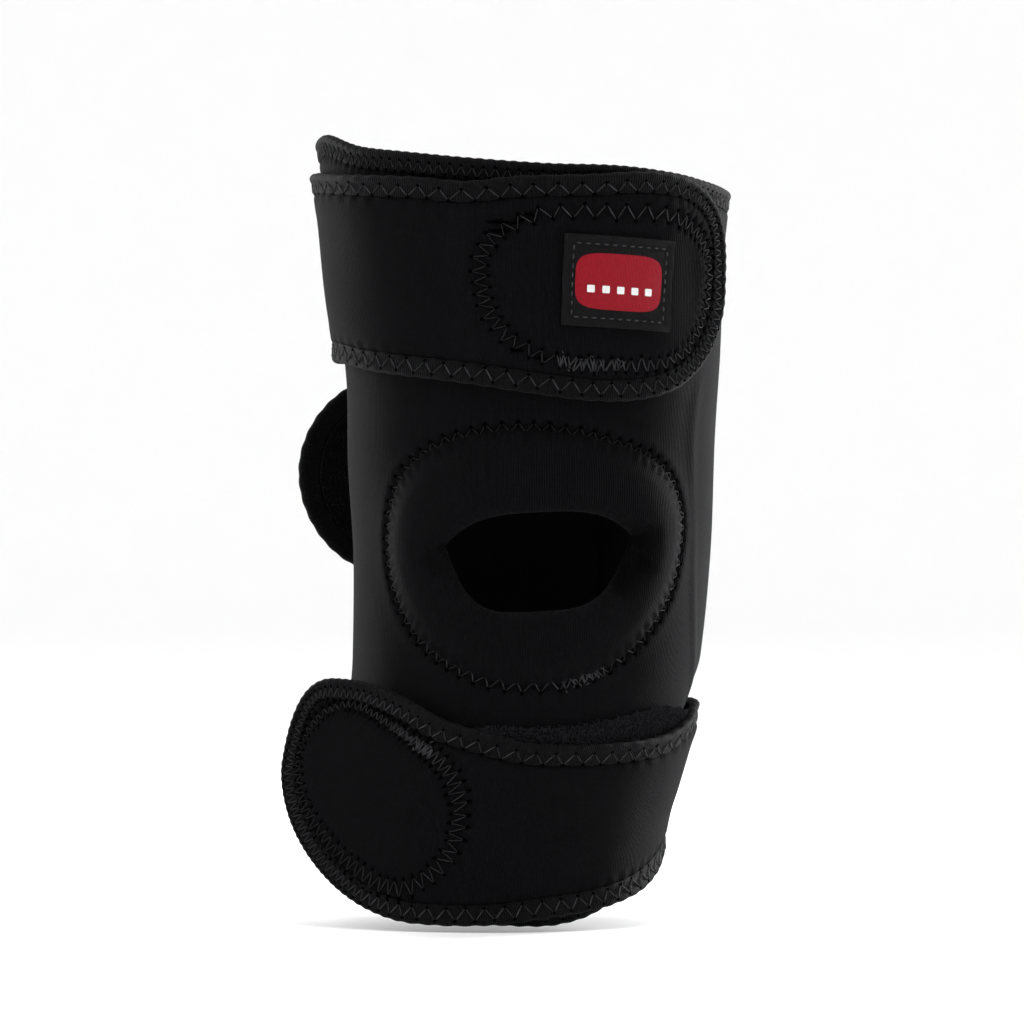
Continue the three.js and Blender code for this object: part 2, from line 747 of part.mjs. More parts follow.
// A four-sided sheet from a grid of flat places: corner(i share, j share) gives length and z
function gridSheet(columns, rows, flatAt, place, thickness, material, name) {
  const flat = [];
  for (let j = 0; j <= rows; j += 1) {
    for (let i = 0; i <= columns; i += 1) {
      flat.push(flatAt(i / columns, j / rows));
    }
  }
  const wide = columns + 1;
  const faces = [];
  for (let j = 0; j < rows; j += 1) {
    for (let i = 0; i < columns; i += 1) {
      const a = j * wide + i;
      faces.push([a, a + 1, a + 1 + wide, a + wide]);
    }
  }
  const rim = [];
  for (let i = 0; i < columns; i += 1) {
    rim.push(i);
  }
  for (let j = 0; j < rows; j += 1) {
    rim.push(j * wide + columns);
  }
  for (let i = columns; i > 0; i -= 1) {
    rim.push(rows * wide + i);
  }
  for (let j = rows; j > 0; j -= 1) {
    rim.push(j * wide);
  }
  const skin = (out) => flat.map((point) => place(point, out));
  return bodyBetweenSkins(skin(thickness), skin(0), faces, [rim], material, name);
}

// A round patch on the inner face of a strap's free end, in columns across the strap
const patchColumns = 14;
const patchBluntness = 10; // degrees of its outline that its first and last column cut off
function hookPatch(strap, seam, length, height, name) {
  const flatAt = (i, j) => {
    const angle = THREE.MathUtils.lerp(180 - patchBluntness, patchBluntness, i);
    const above = seamPoint(seam, length, height, angle);
    const below = seamPoint(seam, length, height, 360 - angle);
    return below.lerp(above, j);
  };
  const place = (point, out) => {
    const turn = lengthToTurn(point.x);
    return onStrap(strap, turn, point.y, strapSeat(strap, turn) - underStrap - hookCloth + out);
  };
  return gridSheet(patchColumns, 4, flatAt, place, hookCloth, hookBlack, name);
}

function labelPatch() {
  const centre = new THREE.Vector2(turnToLength(label.turn), label.rise * sleeveHeight);
  const strapFace = strapSeat(upperStrap, label.turn) + cloth;
  const stretch = wrapRadius / (wrapRadius + strapFace);
  const flatAt = (i, j) => {
    const corner = new THREE.Vector2((i - 0.5) * labelWidth, (j - 0.5) * labelHeight);
    corner.rotateAround(new THREE.Vector2(), THREE.MathUtils.degToRad(label.tilt));
    corner.x *= stretch;
    return corner.add(centre);
  };
  const place = (point, out) => onStrap(upperStrap, lengthToTurn(point.x), point.y, strapFace + gap + out);
  return gridSheet(8, 4, flatAt, place, labelCloth, labelBlack, "label");
}

function loopPatch() {
  const flatAt = (i, j) => {
    const turn = THREE.MathUtils.lerp(loopStrip.from, loopStrip.to, i);
    const top = smoothValue(loopStrip.rows, "turn", "top", turn) * sleeveHeight;
    const bottom = smoothValue(loopStrip.rows, "turn", "bottom", turn) * sleeveHeight;
    return new THREE.Vector2(turnToLength(turn), THREE.MathUtils.lerp(bottom, top, j));
  };
  const place = (point, out) => onLeg(lengthToTurn(point.x), point.y, cloth + gap + out);
  return gridSheet(10, 3, flatAt, place, loopCloth, loopBlack, "loop_patch");
}

// The hook face covers the inside of the back tab, up to its binding
function tabHookFace() {
  const reach = turnToLength(Math.abs(backTab.tip - backTab.root));
  const margin = bindingWidth + gap;
  const flatAt = (i, j) => {
    const across = (j - 0.5) * (tabWidth - 2 * margin);
    const radius = tabWidth / 2;
    const room = Math.sqrt((radius - margin) ** 2 - across ** 2 + 1e-6);
    const end = reach - radius + Math.max(room, margin);
    const along = THREE.MathUtils.lerp(tabHookStart, end, i);
    const middle = backTab.sections[0].middle * sleeveHeight;
    return new THREE.Vector2(turnToLength(backTab.root) + along, middle + across);
  };
  const place = (point, out) => {
    const seat = backTab.seat - underStrap - hookCloth;
    return onStrap(backTab, lengthToTurn(point.x), point.y, seat + out);
  };
  return gridSheet(5, 8, flatAt, place, hookCloth, hookBlack, "back_tab_hook");
}

const kneeSleeve = new THREE.Group();
kneeSleeve.name = "knee_sleeve";
kneeSleeve.add(sleeveBody());
kneeSleeve.add(foldedTape(sleeveEdge("top"), onSleeve, "sleeve_top_binding"));
kneeSleeve.add(foldedTape(sleeveEdge("bottom").reverse(), onSleeve, "sleeve_bottom_binding"));
kneeSleeve.add(patellaPad());
kneeSleeve.add(strapCloth(upperStrap, knitBlack, "upper_strap"));
kneeSleeve.add(strapBinding(upperStrap, "upper_strap_binding"));
kneeSleeve.add(hookPatch(upperStrap, upperHook, upperHookLength, upperHookHeight, "upper_hook_patch"));
kneeSleeve.add(labelPatch());
kneeSleeve.add(loopPatch());
kneeSleeve.add(strapCloth(lowerStrap, knitBlack, "lower_strap"));
kneeSleeve.add(strapBinding(lowerStrap, "lower_strap_binding"));
kneeSleeve.add(hookPatch(lowerStrap, lowerHook, lowerHookLength, lowerHookHeight, "lower_hook_patch"));
kneeSleeve.add(strapCloth(backTab, knitBlack, "back_tab"));
kneeSleeve.add(strapBinding(backTab, "back_tab_binding"));
kneeSleeve.add(tabHookFace());

export default kneeSleeve;
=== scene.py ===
"""A wraparound knee sleeve in black knit-faced foam cloth, with bound and zigzag-sewn edges, a puffed pad
round an open patella, two pull straps, a label and a closing tab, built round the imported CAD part."""

import math

import bpy
import numpy as np
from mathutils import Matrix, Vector


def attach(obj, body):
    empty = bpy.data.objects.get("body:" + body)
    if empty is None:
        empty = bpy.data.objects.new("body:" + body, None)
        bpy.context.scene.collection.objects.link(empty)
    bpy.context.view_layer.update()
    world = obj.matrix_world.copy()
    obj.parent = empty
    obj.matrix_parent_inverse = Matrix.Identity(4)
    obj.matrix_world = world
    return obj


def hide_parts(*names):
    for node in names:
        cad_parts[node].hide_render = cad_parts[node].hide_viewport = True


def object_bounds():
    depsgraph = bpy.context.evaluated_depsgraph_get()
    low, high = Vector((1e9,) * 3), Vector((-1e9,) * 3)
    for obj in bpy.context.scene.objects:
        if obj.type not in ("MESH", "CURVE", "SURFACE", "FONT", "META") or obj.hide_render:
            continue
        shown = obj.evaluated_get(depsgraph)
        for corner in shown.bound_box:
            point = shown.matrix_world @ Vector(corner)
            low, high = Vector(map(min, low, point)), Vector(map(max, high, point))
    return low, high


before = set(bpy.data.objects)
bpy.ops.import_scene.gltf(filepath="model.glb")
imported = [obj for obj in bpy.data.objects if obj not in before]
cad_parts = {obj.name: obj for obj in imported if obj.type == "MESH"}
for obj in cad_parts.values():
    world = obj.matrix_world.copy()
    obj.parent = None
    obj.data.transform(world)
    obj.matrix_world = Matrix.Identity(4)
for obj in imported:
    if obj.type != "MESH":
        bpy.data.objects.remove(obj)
cad_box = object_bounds()

bl_info = {
    "name": "Knee sleeve",
    "version": (1, 0, 0),
    "blender": (4, 5, 0),
    "location": "3D View > Sidebar > Knee sleeve",
    "description": "Sewn pieces of a wraparound knee sleeve",
    "category": "Add Mesh",
}

MM = 0.001

# Driving sizes in millimetres, the same as the solids have
SLEEVE_HEIGHT = 269.0
KNEE_WIDTH = 115.8
KNEE_DEPTH = 116.0
CLOTH = 2.8
TAPE = 0.7
TAPE_WIDTH = 6.8
PINCH = 1.4
HOOK_CLOTH = 1.2
LOOP_CLOTH = 1.0
LABEL_CLOTH = 0.8
GAP = 0.3
STRAP_WIDTH = 64.0
TAB_WIDTH = 69.7
TAB_HOOK_START = 17.0
PAD_SEAM_LENGTH = 110.8
PAD_SEAM_HEIGHT = 85.6
PAD_SWELL = 3.6
PAD_RIM = 2.4
EYE_LENGTH = 64.0
EYE_HEIGHT = 32.7
LABEL_WIDTH = 37.0
LABEL_HEIGHT = 30.0
UPPER_HOOK = (72.4, 50.6)
LOWER_HOOK = (67.3, 60.8)
SLEEVE_INNER_END = -203.0
SLEEVE_OUTER_END = 200.0
FLAP_STEP = (140.0, 154.0)

# Places that follow from them
WRAP_RADIUS = (KNEE_WIDTH + KNEE_DEPTH) / 4
TAPE_PROUD = PINCH / 2 + GAP + TAPE - CLOTH / 2
OVER_SLEEVE = CLOTH + 2 * TAPE_PROUD + GAP
OVER_LOOP = CLOTH + GAP + max(LOOP_CLOTH, HOOK_CLOTH) + TAPE_PROUD + GAP
UNDER_STRAP = TAPE_PROUD + GAP
OVER_HOOK = CLOTH + GAP + HOOK_CLOTH + UNDER_STRAP

# Sections of the leg form, as shares of the sleeve's height and of the knee's width and depth
LEG_FORM = {
    "height": (-0.4833, -0.4275, -0.3792, -0.3346, -0.2862, -0.2379, -0.1784, -0.1227,
               0, 0.1227, 0.2342, 0.3494, 0.4498, 0.5204),
    "width": (0.4758, 0.4637, 0.4491, 0.4473, 0.4542, 0.4633, 0.4788, 0.4866,
              0.5, 0.513, 0.5233, 0.5449, 0.5682, 0.5924),
    "lean": (-0.1339, -0.1339, -0.1278, -0.1123, -0.0864, -0.0617, -0.0307, -0.0134,
             0.0017, -0.0017, 0.0017, -0.0104, -0.013, -0.0147),
    "front": (0.444, 0.4483, 0.4534, 0.4595, 0.4681, 0.4784, 0.4914, 0.5043,
              0.5259, 0.5345, 0.5474, 0.569, 0.5948, 0.6164),
    "back": (0.5345, 0.5345, 0.5284, 0.519, 0.5069, 0.4957, 0.4828, 0.4741,
             0.4741, 0.4914, 0.5172, 0.5517, 0.5776, 0.5991),
}
SLEEVE_EDGES = {
    "turn": (-203, -150, -110, -88, -72, -53, -36, -16, 5, 26, 46, 62, 84, 120, 160, 200),
    "top": (0.487, 0.509, 0.519, 0.5225, 0.5279, 0.5091, 0.4995, 0.4895,
            0.4825, 0.481, 0.4746, 0.467, 0.4605, 0.464, 0.476, 0.487),
    "bottom": (-0.37, -0.37, -0.365, -0.365, -0.372, -0.39, -0.423, -0.4465,
               -0.4521, -0.4522, -0.4316, -0.39, -0.362, -0.36, -0.365, -0.37),
}
UPPER_STRAP = {
    "seat": OVER_SLEEVE, "root": -159.6, "tip": 68.6, "leaves": 46, "kept_bend": 0.1,
    "hook_step": (-24, -14, OVER_HOOK - OVER_SLEEVE),
    "sections": {
        "turn": (-160, -100, -76, -55, -30, -16, -3, 16, 34, 70),
        "middle": (0.3656, 0.3637, 0.3622, 0.3529, 0.3431, 0.3361, 0.3344, 0.3307, 0.3335, 0.3338),
        "width": (0.949, 0.996, 0.999, 1.021, 1.038, 1.044, 1.102, 1.158, 1.184, 1.194),
    },
    "end": {"centre": 0.5, "top": (0.636, 3), "bottom": (0.578, 2)},
}
LOWER_STRAP = {
    "seat": OVER_LOOP, "root": 137, "tip": -85.3, "leaves": -32, "kept_bend": 0.15,
    "hook_step": (0, 1, 0),
    "sections": {
        "turn": (-87, -60, -49, -35, -24, -10, 5, 21, 38, 58, 74, 90, 137),
        "middle": (-0.2993, -0.3011, -0.3048, -0.3139, -0.3234, -0.332, -0.3379, -0.3356,
                   -0.3305, -0.3173, -0.2952, -0.2777, -0.277),
        "width": (1.266, 1.259, 1.225, 1.142, 1.062, 1.006, 0.941, 0.896,
                  0.871, 0.835, 0.841, 0.806, 0.844),
    },
    "end": {"centre": 0.358, "top": (0.225, 2.6), "bottom": (0.79, 1.6)},
}
BACK_TAB = {
    "seat": OVER_SLEEVE, "root": -159.6, "tip": -98.6, "leaves": -160, "kept_bend": 0.06,
    "hook_step": (0, 1, 0),
    "sections": {
        "turn": (-160, -98),
        "middle": (0.1045, 0.1045),
        "width": (TAB_WIDTH / STRAP_WIDTH, TAB_WIDTH / STRAP_WIDTH),
    },
    "end": {"centre": 0.5, "top": (0.5, 2), "bottom": (0.5, 2)},
}

# Closed seams: reach in each direction is a share of the ellipse that the seam's length and height give
PAD_SEAM = {
    "turn": 0.9, "rise": 0.0012,
    "toward": (0, 20, 40, 65, 90, 115, 140, 165, 190, 215, 240, 270, 295, 320, 340),
    "reach": (0.965, 1.035, 1.065, 1, 1, 1.03, 1.045, 1, 0.965, 0.945, 0.965, 1, 0.985, 0.945, 0.945),
}
UPPER_HOOK_SEAM = {
    "turn": 23.25, "rise": 0.3299,
    "toward": (0, 30, 60, 90, 120, 150, 180, 210, 240, 270, 300, 330),
    "reach": (1.014, 1.103, 1.086, 0.985, 1.102, 1.11, 1.001, 1.034, 1.055, 1.0, 1.065, 1.014),
}
LOWER_HOOK_SEAM = {
    "turn": -44.47, "rise": -0.2964,
    "toward": (0, 30, 60, 90, 120, 150, 180, 210, 240, 270, 300, 330),
    "reach": (0.949, 0.804, 0.729, 0.834, 1.16, 1.157, 0.879, 0.689, 0.671, 0.808, 1.115, 1.113),
}
EYE = {"turn": 2.1, "corner_rise": 0.36, "corner_tilt": 0.1, "top_share": 0.285, "top_power": 3.2,
       "bottom_power": 4}
LABEL = {"turn": 25, "rise": 0.337, "tilt": -3}
LABEL_HEM = 2.9
LABEL_STITCH = 2.8
BLOCK = {"width": 29, "height": 18.5, "roundness": 4.5, "middle": (-0.2, 0), "thick": 0.22}
SQUARES = {"count": 5, "size": 2.6, "first": -9.8, "pitch": 4.8, "rise": -2.6, "roundness": 9, "thick": 0.4}
CORNER_PRESS = 2.3
LOOP_STRIP = {
    "from": -13, "to": 78,
    "turn": (-13, 8, 21, 36, 52, 62, 78),
    "top": (-0.2105, -0.209, -0.2063, -0.197, -0.186, -0.19, -0.196),
    "bottom": (-0.3, -0.3, -0.3, -0.3, -0.29, -0.285, -0.275),
}

# The stage, in metres
FLOOR_RADIUS = 5.0
WALL_BEND = 1.6
WALL_HEIGHT = 6.0
WORLD_STRENGTH = 1.2
SOFTBOXES = (
    {"name": "left_softbox", "place": (-1.0, 1.15, 0.1), "size": (0.4, 1.2), "power": 26},
    {"name": "right_softbox", "place": (1.15, 1.05, 0.1), "size": (0.4, 1.2), "power": 66},
    {"name": "top_softbox", "place": (0, -0.4, 1.9), "size": (1.4, 1.0), "power": 10},
)
CAMERA_PLACE = (-0.00663, -2.0, 0.0153)
CAMERA_LENS = 206.8
CAMERA_SENSOR = 36

# How the patch seams are sewn, by direction from the seam's middle. The last column is painted light and shade on
# the thread: lighter where light falls on it, darker where it lies in shade.
UPPER_SEWING = {
    "toward": (0, 25, 55, 70, 115, 135, 160, 215, 235, 250, 280, 300, 330, 360),
    "pitch": (3.4, 2.8, 3.2, 5.9, 5.9, 4.6, 3.8, 3.8, 4.6, 3.2, 3.2, 3.6, 3.4, 3.4),
    "width": (3.0, 3.6, 4.4, 4.6, 4.6, 4.0, 4.6, 4.6, 4.4, 4.8, 4.8, 3.8, 3.2, 3.0),
    "painted_light_and_tone": (0.3, 0.4, 0.8, 1, 1, 0.3, 0.15, 0.2, 0.35, 1, 1, 0.6, 0.3, 0.3),
}
LOWER_SEWING = {
    "toward": (0, 30, 45, 62, 122, 150, 195, 235, 270, 310, 340, 360),
    "pitch": (3.7, 3.2, 2.8, 2.5, 2.5, 3.0, 3.6, 3.7, 3.7, 3.7, 3.7, 3.7),
    "width": (6.0, 5.2, 5.0, 3.4, 3.1, 3.0, 4.6, 5.4, 5.8, 6.0, 6.0, 6.0),
    "painted_light_and_tone": (0.3, 0.45, 0.9, 0.6, 0.35, 0.15, 0.15, 0.2, 0.3, 0.45, 0.3, 0.3),
}
PAD_SEWING = {
    "toward": (0, 45, 90, 135, 180, 225, 270, 300, 330, 360),
    "pitch": (4.0, 3.8, 5.0, 4.5, 4.1, 4.6, 5.9, 5.6, 4.2, 4.0),
    "width": (2.6, 2.7, 2.8, 2.7, 2.6, 3.5, 3.8, 3.8, 3.0, 2.6),
    "painted_light_and_tone": (0.06, 0.1, 0.14, 0.1, 0.06, 0.45, 0.9, 0.9, 0.2, 0.06),
}
# Length and width of the dark lenses of painted shade at the needle holes
TAPE_HOLE = (1.25, 0.95)
PATCH_HOLE = (1.7, 1.0)
LOWER_PATCH_HOLE = (2.5, 1.15)
PAD_HOLE = (2.1, 1.35)
# How the sleeve's two edges are sewn. side says where the cloth lies, near and far are the distances of the
# holes from the fold, and the brightness is painted light on the thread.
SLEEVE_SEWING = {
    "top": {"side": 1, "pitch": 3.2, "near": 2.9, "far": 6.5, "painted_light_and_tone": 0.4, "seed": 11},
    "bottom": {"side": -1, "pitch": 6.2, "near": 1.7, "far": 5.9, "painted_light_and_tone": 1.0, "seed": 12},
}
# A soft upright ridge where the cloth turns to the right side
SLEEVE_RIDGE = {
    "z": (-46, -25, 0, 36, 53, 60),
    "turn": (76, 68.6, 63, 59.5, 60, 62),
}
# Pitch of a strap's edge stitches by the distance from its tip along the edge
UPPER_EDGE = {"from_tip": (0, 24, 36, 52, 75), "pitch": (4.2, 3.2, 3.0, 5.2, 6.3)}
LOWER_EDGE = {"from_tip": (0, 50, 70, 95), "pitch": (2.8, 2.9, 3.8, 6.3)}
TAB_EDGE = {"from_tip": (0, 20), "pitch": (6.2, 6.2)}
# Short pleats beside the upper patch's seam, by both ends on the flat cloth. They are sunk into the cloth, painted
# darker, and covered with dark lenses of painted shade.
UPPER_PLEATS = ((-11.5, 110.3, -4.0, 110.1), (-10.8, 107.4, -4.2, 107.2), (-4.6, 109.4, -0.2, 111.4),
                (-6.0, 68.3, -2.2, 68.1), (0.2, 65.7, 3.8, 65.5), (-1.0, 113.0, 2.6, 112.2))


class KneeSleeveSizes(bpy.types.PropertyGroup):
    """Sizes of the sewing and the faces of the cloth."""
    stitch_pitch: bpy.props.FloatProperty(
        name="Stitch pitch", description="Length of one zigzag along an edge", default=0.0062,
        min=0.003, max=0.012, unit="LENGTH")
    thread_width: bpy.props.FloatProperty(
        name="Thread width", description="Thickness of the sewing thread", default=0.00040,
        min=0.0002, max=0.001, unit="LENGTH")
    knit_pitch: bpy.props.FloatProperty(
        name="Knit pitch", description="Distance between two ribs of the knit face", default=0.00074,
        min=0.0004, max=0.002, unit="LENGTH")
    tape_pitch: bpy.props.FloatProperty(
        name="Tape rib pitch", description="Distance between two cross ribs of the tape", default=0.00072,
        min=0.0004, max=0.002, unit="LENGTH")
    mesh_step: bpy.props.FloatProperty(
        name="Mesh step", description="Width of the faces that the cloth is made of", default=0.001,
        min=0.0008, max=0.003, unit="LENGTH")


class KneeSleeveColours(bpy.types.PropertyGroup):
    """Colours of the cloths, the thread, the label and the floor."""
    knit: bpy.props.FloatVectorProperty(
        name="Knit", description="Knit face of the foam cloth", subtype="COLOR", size=3,
        min=0, max=1, default=(0.0018, 0.0018, 0.0021))
    tape: bpy.props.FloatVectorProperty(
        name="Tape", description="Binding tape", subtype="COLOR", size=3,
        min=0, max=1, default=(0.0026, 0.0026, 0.0029))
    thread: bpy.props.FloatVectorProperty(
        name="Thread", description="Sewing thread", subtype="COLOR", size=3,
        min=0, max=1, default=(0.052, 0.052, 0.055))
    hook: bpy.props.FloatVectorProperty(
        name="Hook cloth", description="Face of the hook cloth", subtype="COLOR", size=3,
        min=0, max=1, default=(0.0016, 0.0016, 0.0018))
    pile: bpy.props.FloatVectorProperty(
        name="Loop pile", description="Pile that the hooks hold", subtype="COLOR", size=3,
        min=0, max=1, default=(0.0022, 0.0022, 0.0025))
    label: bpy.props.FloatVectorProperty(
        name="Label", description="Ground of the woven label", subtype="COLOR", size=3,
        min=0, max=1, default=(0.0042, 0.0042, 0.0047))
    block: bpy.props.FloatVectorProperty(
        name="Block", description="Woven block on the label", subtype="COLOR", size=3,
        min=0, max=1, default=(0.24, 0.004, 0.012))
    squares: bpy.props.FloatVectorProperty(
        name="Squares", description="Row of squares on the block", subtype="COLOR", size=3,
        min=0, max=1, default=(0.8, 0.8, 0.8))
    floor: bpy.props.FloatVectorProperty(
        name="Floor", description="Floor and backdrop", subtype="COLOR", size=3,
        min=0, max=1, default=(0.93, 0.93, 0.93))


def sizes():
    return bpy.context.scene.knee_sleeve_sizes


def colours():
    return bpy.context.scene.knee_sleeve_colours


# Curves through short tables

def smooth_value(table, key, column, at):
    """Value of a column at places between the table's rows, level past both ends."""
    keys = np.array(table[key], float)
    values = np.array(table[column], float)
    slopes = np.gradient(values, keys) if len(keys) < 3 else np.empty_like(values)
    if len(keys) >= 3:
        slopes[1:-1] = (values[2:] - values[:-2]) / (keys[2:] - keys[:-2])
        slopes[0] = (values[1] - values[0]) / (keys[1] - keys[0])
        slopes[-1] = (values[-1] - values[-2]) / (keys[-1] - keys[-2])
    at = np.asarray(at, float)
    row = np.clip(np.searchsorted(keys, at) - 1, 0, len(keys) - 2)
    span = keys[row + 1] - keys[row]
    t = np.clip((at - keys[row]) / span, 0, 1)
    low = (2 * t ** 3 - 3 * t ** 2 + 1) * values[row] + (t ** 3 - 2 * t ** 2 + t) * slopes[row] * span
    high = (3 * t ** 2 - 2 * t ** 3) * values[row + 1] + (t ** 3 - t ** 2) * slopes[row + 1] * span
    return low + high


def reach_toward(seam, degrees):
    toward = np.array(seam["toward"], float)
    reach = np.array(seam["reach"], float)
    table = {
        "toward": np.concatenate([[toward[-1] - 360], toward, toward[:2] + 360]),
        "reach": np.concatenate([[reach[-1]], reach, reach[:2]]),
    }
    return smooth_value(table, "toward", "reach", np.mod(degrees, 360))


def smoothstep(at, low, high):
    t = np.clip((np.asarray(at, float) - low) / (high - low), 0, 1)
    return t * t * (3 - 2 * t)


def bump_shape(at, centre, width):
    return np.exp(-((at - centre) / width) ** 2)


def turn_to_length(turn):
    return np.radians(turn) * WRAP_RADIUS


def length_to_turn(length):
    return np.degrees(np.asarray(length, float) / WRAP_RADIUS)


# The leg form and what lies on it

def leg_frame(turn, z):
    turn, z = np.broadcast_arrays(np.asarray(turn, float), np.asarray(z, float))
    height = z / SLEEVE_HEIGHT
    half_width = smooth_value(LEG_FORM, "height", "width", height) * KNEE_WIDTH
    lean = smooth_value(LEG_FORM, "height", "lean", height) * KNEE_WIDTH
    angle = np.radians(turn)
    front = smooth_value(LEG_FORM, "height", "front", height)
    back = smooth_value(LEG_FORM, "height", "back", height)
    depth = np.where(np.cos(angle) > 0, front, back) * KNEE_DEPTH
    place = np.stack([lean + half_width * np.sin(angle), -depth * np.cos(angle), z], -1)
    ahead = np.stack([half_width * np.cos(angle), depth * np.sin(angle), np.zeros_like(z)], -1)
    ahead /= np.linalg.norm(ahead, axis=-1, keepdims=True)
    outward = np.stack([ahead[..., 1], -ahead[..., 0], np.zeros_like(z)], -1)
    return place, ahead, outward


def pressed(turn, z):
    """How deep the lower strap's top edge is drawn into the leg where it turns to the back."""
    edge = strap_edge_height(LOWER_STRAP, turn, 0.5)
    round_leg = smoothstep(turn, 68, 84) * (1 - smoothstep(turn, 118, 140))
    return CORNER_PRESS * round_leg * smoothstep(z, edge - 11, edge - 1) * (1 - smoothstep(z, edge, edge + 16))


def on_leg(turn, z, out):
    place, _, outward = leg_frame(turn, z)
    return place + outward * (np.asarray(out, float) - pressed(turn, z))[..., None]


def on_strap(strap, turn, z, out):
    turn, z, out = np.broadcast_arrays(*(np.asarray(v, float) for v in (turn, z, out)))
    side = np.sign(strap["tip"] - strap["root"])
    past = (turn - strap["leaves"]) * side
    held = on_leg(turn, z, out)
    place, ahead, outward = leg_frame(np.full_like(turn, strap["leaves"]), z)
    radius = WRAP_RADIUS / strap["kept_bend"]
    bend = (turn_to_length(np.maximum(past, 0)) / radius)[..., None]
    forward = ahead * side
    normal = outward * np.cos(bend) + forward * np.sin(bend)
    free = place + forward * radius * np.sin(bend) - outward * radius * (1 - np.cos(bend))
    free = free + normal * out[..., None]
    return np.where((past <= 0)[..., None], held, free)


def sleeve_seat(turn):
    return OVER_SLEEVE * smoothstep(turn, *FLAP_STEP)


def strap_seat(strap, turn):
    low, high, rise = strap["hook_step"]
    return strap["seat"] + rise * smoothstep(turn, low, high)


def on_sleeve(flat, height):
    """Point of the sleeve from its place on the flat cloth and its height above the cloth's middle."""
    turn = length_to_turn(flat[..., 0])
    return on_leg(turn, flat[..., 1], sleeve_seat(turn) + CLOTH / 2 + height)


def strap_placer(strap):
    def place(flat, height):
        turn = length_to_turn(flat[..., 0])
        return on_strap(strap, turn, flat[..., 1], strap_seat(strap, turn) + CLOTH / 2 + height)
    return place


# Paths on the flat cloth

def arc_lengths(path):
    return np.concatenate([[0], np.cumsum(np.linalg.norm(np.diff(path, axis=0), axis=1))])


def resample(path, count):
    """The same path with count points, evenly apart."""
    along = arc_lengths(path)
    at = np.linspace(0, along[-1], count)
    return np.stack([np.interp(at, along, path[:, 0]), np.interp(at, along, path[:, 1])], -1)


def inward_directions(path, side, upright_ends=True, closed=False):
    """Directions across a path into the cloth, which lies to its right where side is 1."""
    if closed:
        run = np.roll(path, -1, 0) - np.roll(path, 1, 0)
    else:
        run = np.gradient(path, axis=0)
    if upright_ends and not closed:
        run[0, 1] = 0
        run[-1, 1] = 0
    run /= np.linalg.norm(run, axis=1, keepdims=True)
    return np.stack([run[:, 1], -run[:, 0]], -1) * side


def nearest_on_path(points, path):
    """Distance of points from a path, and where along the path each of them is nearest."""
    along = arc_lengths(path)
    distance = np.empty(len(points))
    place = np.empty(len(points))
    for start in range(0, len(points), 2000):
        part = points[start:start + 2000]
        gaps = np.linalg.norm(part[:, None, :] - path[None, :, :], axis=2)
        found = gaps.argmin(1)
        distance[start:start + 2000] = gaps[np.arange(len(part)), found]
        place[start:start + 2000] = along[found]
    return distance, place


END_CORNER = 60.0


def strap_edge_height(strap, turn, share):
    middle = smooth_value(strap["sections"], "turn", "middle", turn) * SLEEVE_HEIGHT
    width = smooth_value(strap["sections"], "turn", "width", turn) * STRAP_WIDTH
    return middle + width * share


def end_quarter(strap, share, roundness, power, angle):
    side = np.sign(strap["tip"] - strap["root"])
    width_at_tip = smooth_value(strap["sections"], "turn", "width", strap["tip"]) * STRAP_WIDTH
    along = np.sin(np.radians(angle))
    across = np.maximum(0, 1 - along ** power) ** (1 / power)
    turn = strap["tip"] + side * length_to_turn(width_at_tip * roundness * (along - 1))
    centre = strap_edge_height(strap, turn, 0.5 - strap["end"]["centre"])
    height = centre + (strap_edge_height(strap, turn, share) - centre) * across
    return np.stack([turn_to_length(turn), height], -1)


def strap_outline(strap, step):
    """Top edge, round end and bottom edge of a strap, each with its points evenly apart."""
    side = np.sign(strap["tip"] - strap["root"])
    width_at_tip = smooth_value(strap["sections"], "turn", "width", strap["tip"]) * STRAP_WIDTH
    edges = []
    for share, (roundness, power) in ((0.5, strap["end"]["top"]), (-0.5, strap["end"]["bottom"])):
        straight_end = strap["tip"] - side * length_to_turn(width_at_tip * roundness)
        turns = np.linspace(strap["root"], straight_end, 400)[:-1]
        straight = np.stack([turn_to_length(turns), strap_edge_height(strap, turns, share)], -1)
        corner = end_quarter(strap, share, roundness, power, np.linspace(0, END_CORNER, 120))
        edges.append(np.concatenate([straight, corner]))
    arc = np.concatenate([
        end_quarter(strap, 0.5, *strap["end"]["top"], np.linspace(END_CORNER, 90, 200)),
        end_quarter(strap, -0.5, *strap["end"]["bottom"], np.linspace(90, END_CORNER, 200))[1:],
    ])
    columns = int(max(arc_lengths(edge)[-1] for edge in edges) / step)
    rows = int(arc_lengths(arc)[-1] / step)
    return resample(edges[0], columns + 1), resample(arc, rows + 1), resample(edges[1], columns + 1)


def strap_path(strap, step):
    top, arc, bottom = strap_outline(strap, step)
    return np.concatenate([top, arc[1:-1], bottom[::-1]])


def strap_side(strap):
    return float(np.sign(strap["tip"] - strap["root"]))


def seam_points(seam, length, height, degrees):
    angle = np.radians(degrees)
    reach = reach_toward(seam, degrees)
    return np.stack([
        turn_to_length(seam["turn"]) + np.cos(angle) * reach * length / 2,
        seam["rise"] * SLEEVE_HEIGHT + np.sin(angle) * reach * height / 2,
    ], -1)


def eye_points(degrees):
    angle = np.radians(degrees)
    across = np.cos(angle)
    corners = (EYE["corner_rise"] + EYE["corner_tilt"] * across) * EYE_HEIGHT / 2
    above = np.sin(angle) >= 0
    power = np.where(above, EYE["top_power"], EYE["bottom_power"])
    height = np.where(above, EYE["top_share"], EYE["top_share"] - 1)
    lift = EYE_HEIGHT * height * (1 - np.abs(across) ** power)
    return np.stack([turn_to_length(EYE["turn"]) + across * EYE_LENGTH / 2, corners + lift], -1)


# Meshes

def grid_quads(columns, rows, start=0):
    first = np.arange(rows)[:, None] * (columns + 1) + np.arange(columns)[None, :] + start
    return np.stack([first, first + 1, first + columns + 2, first + columns + 1], -1).reshape(-1, 4)


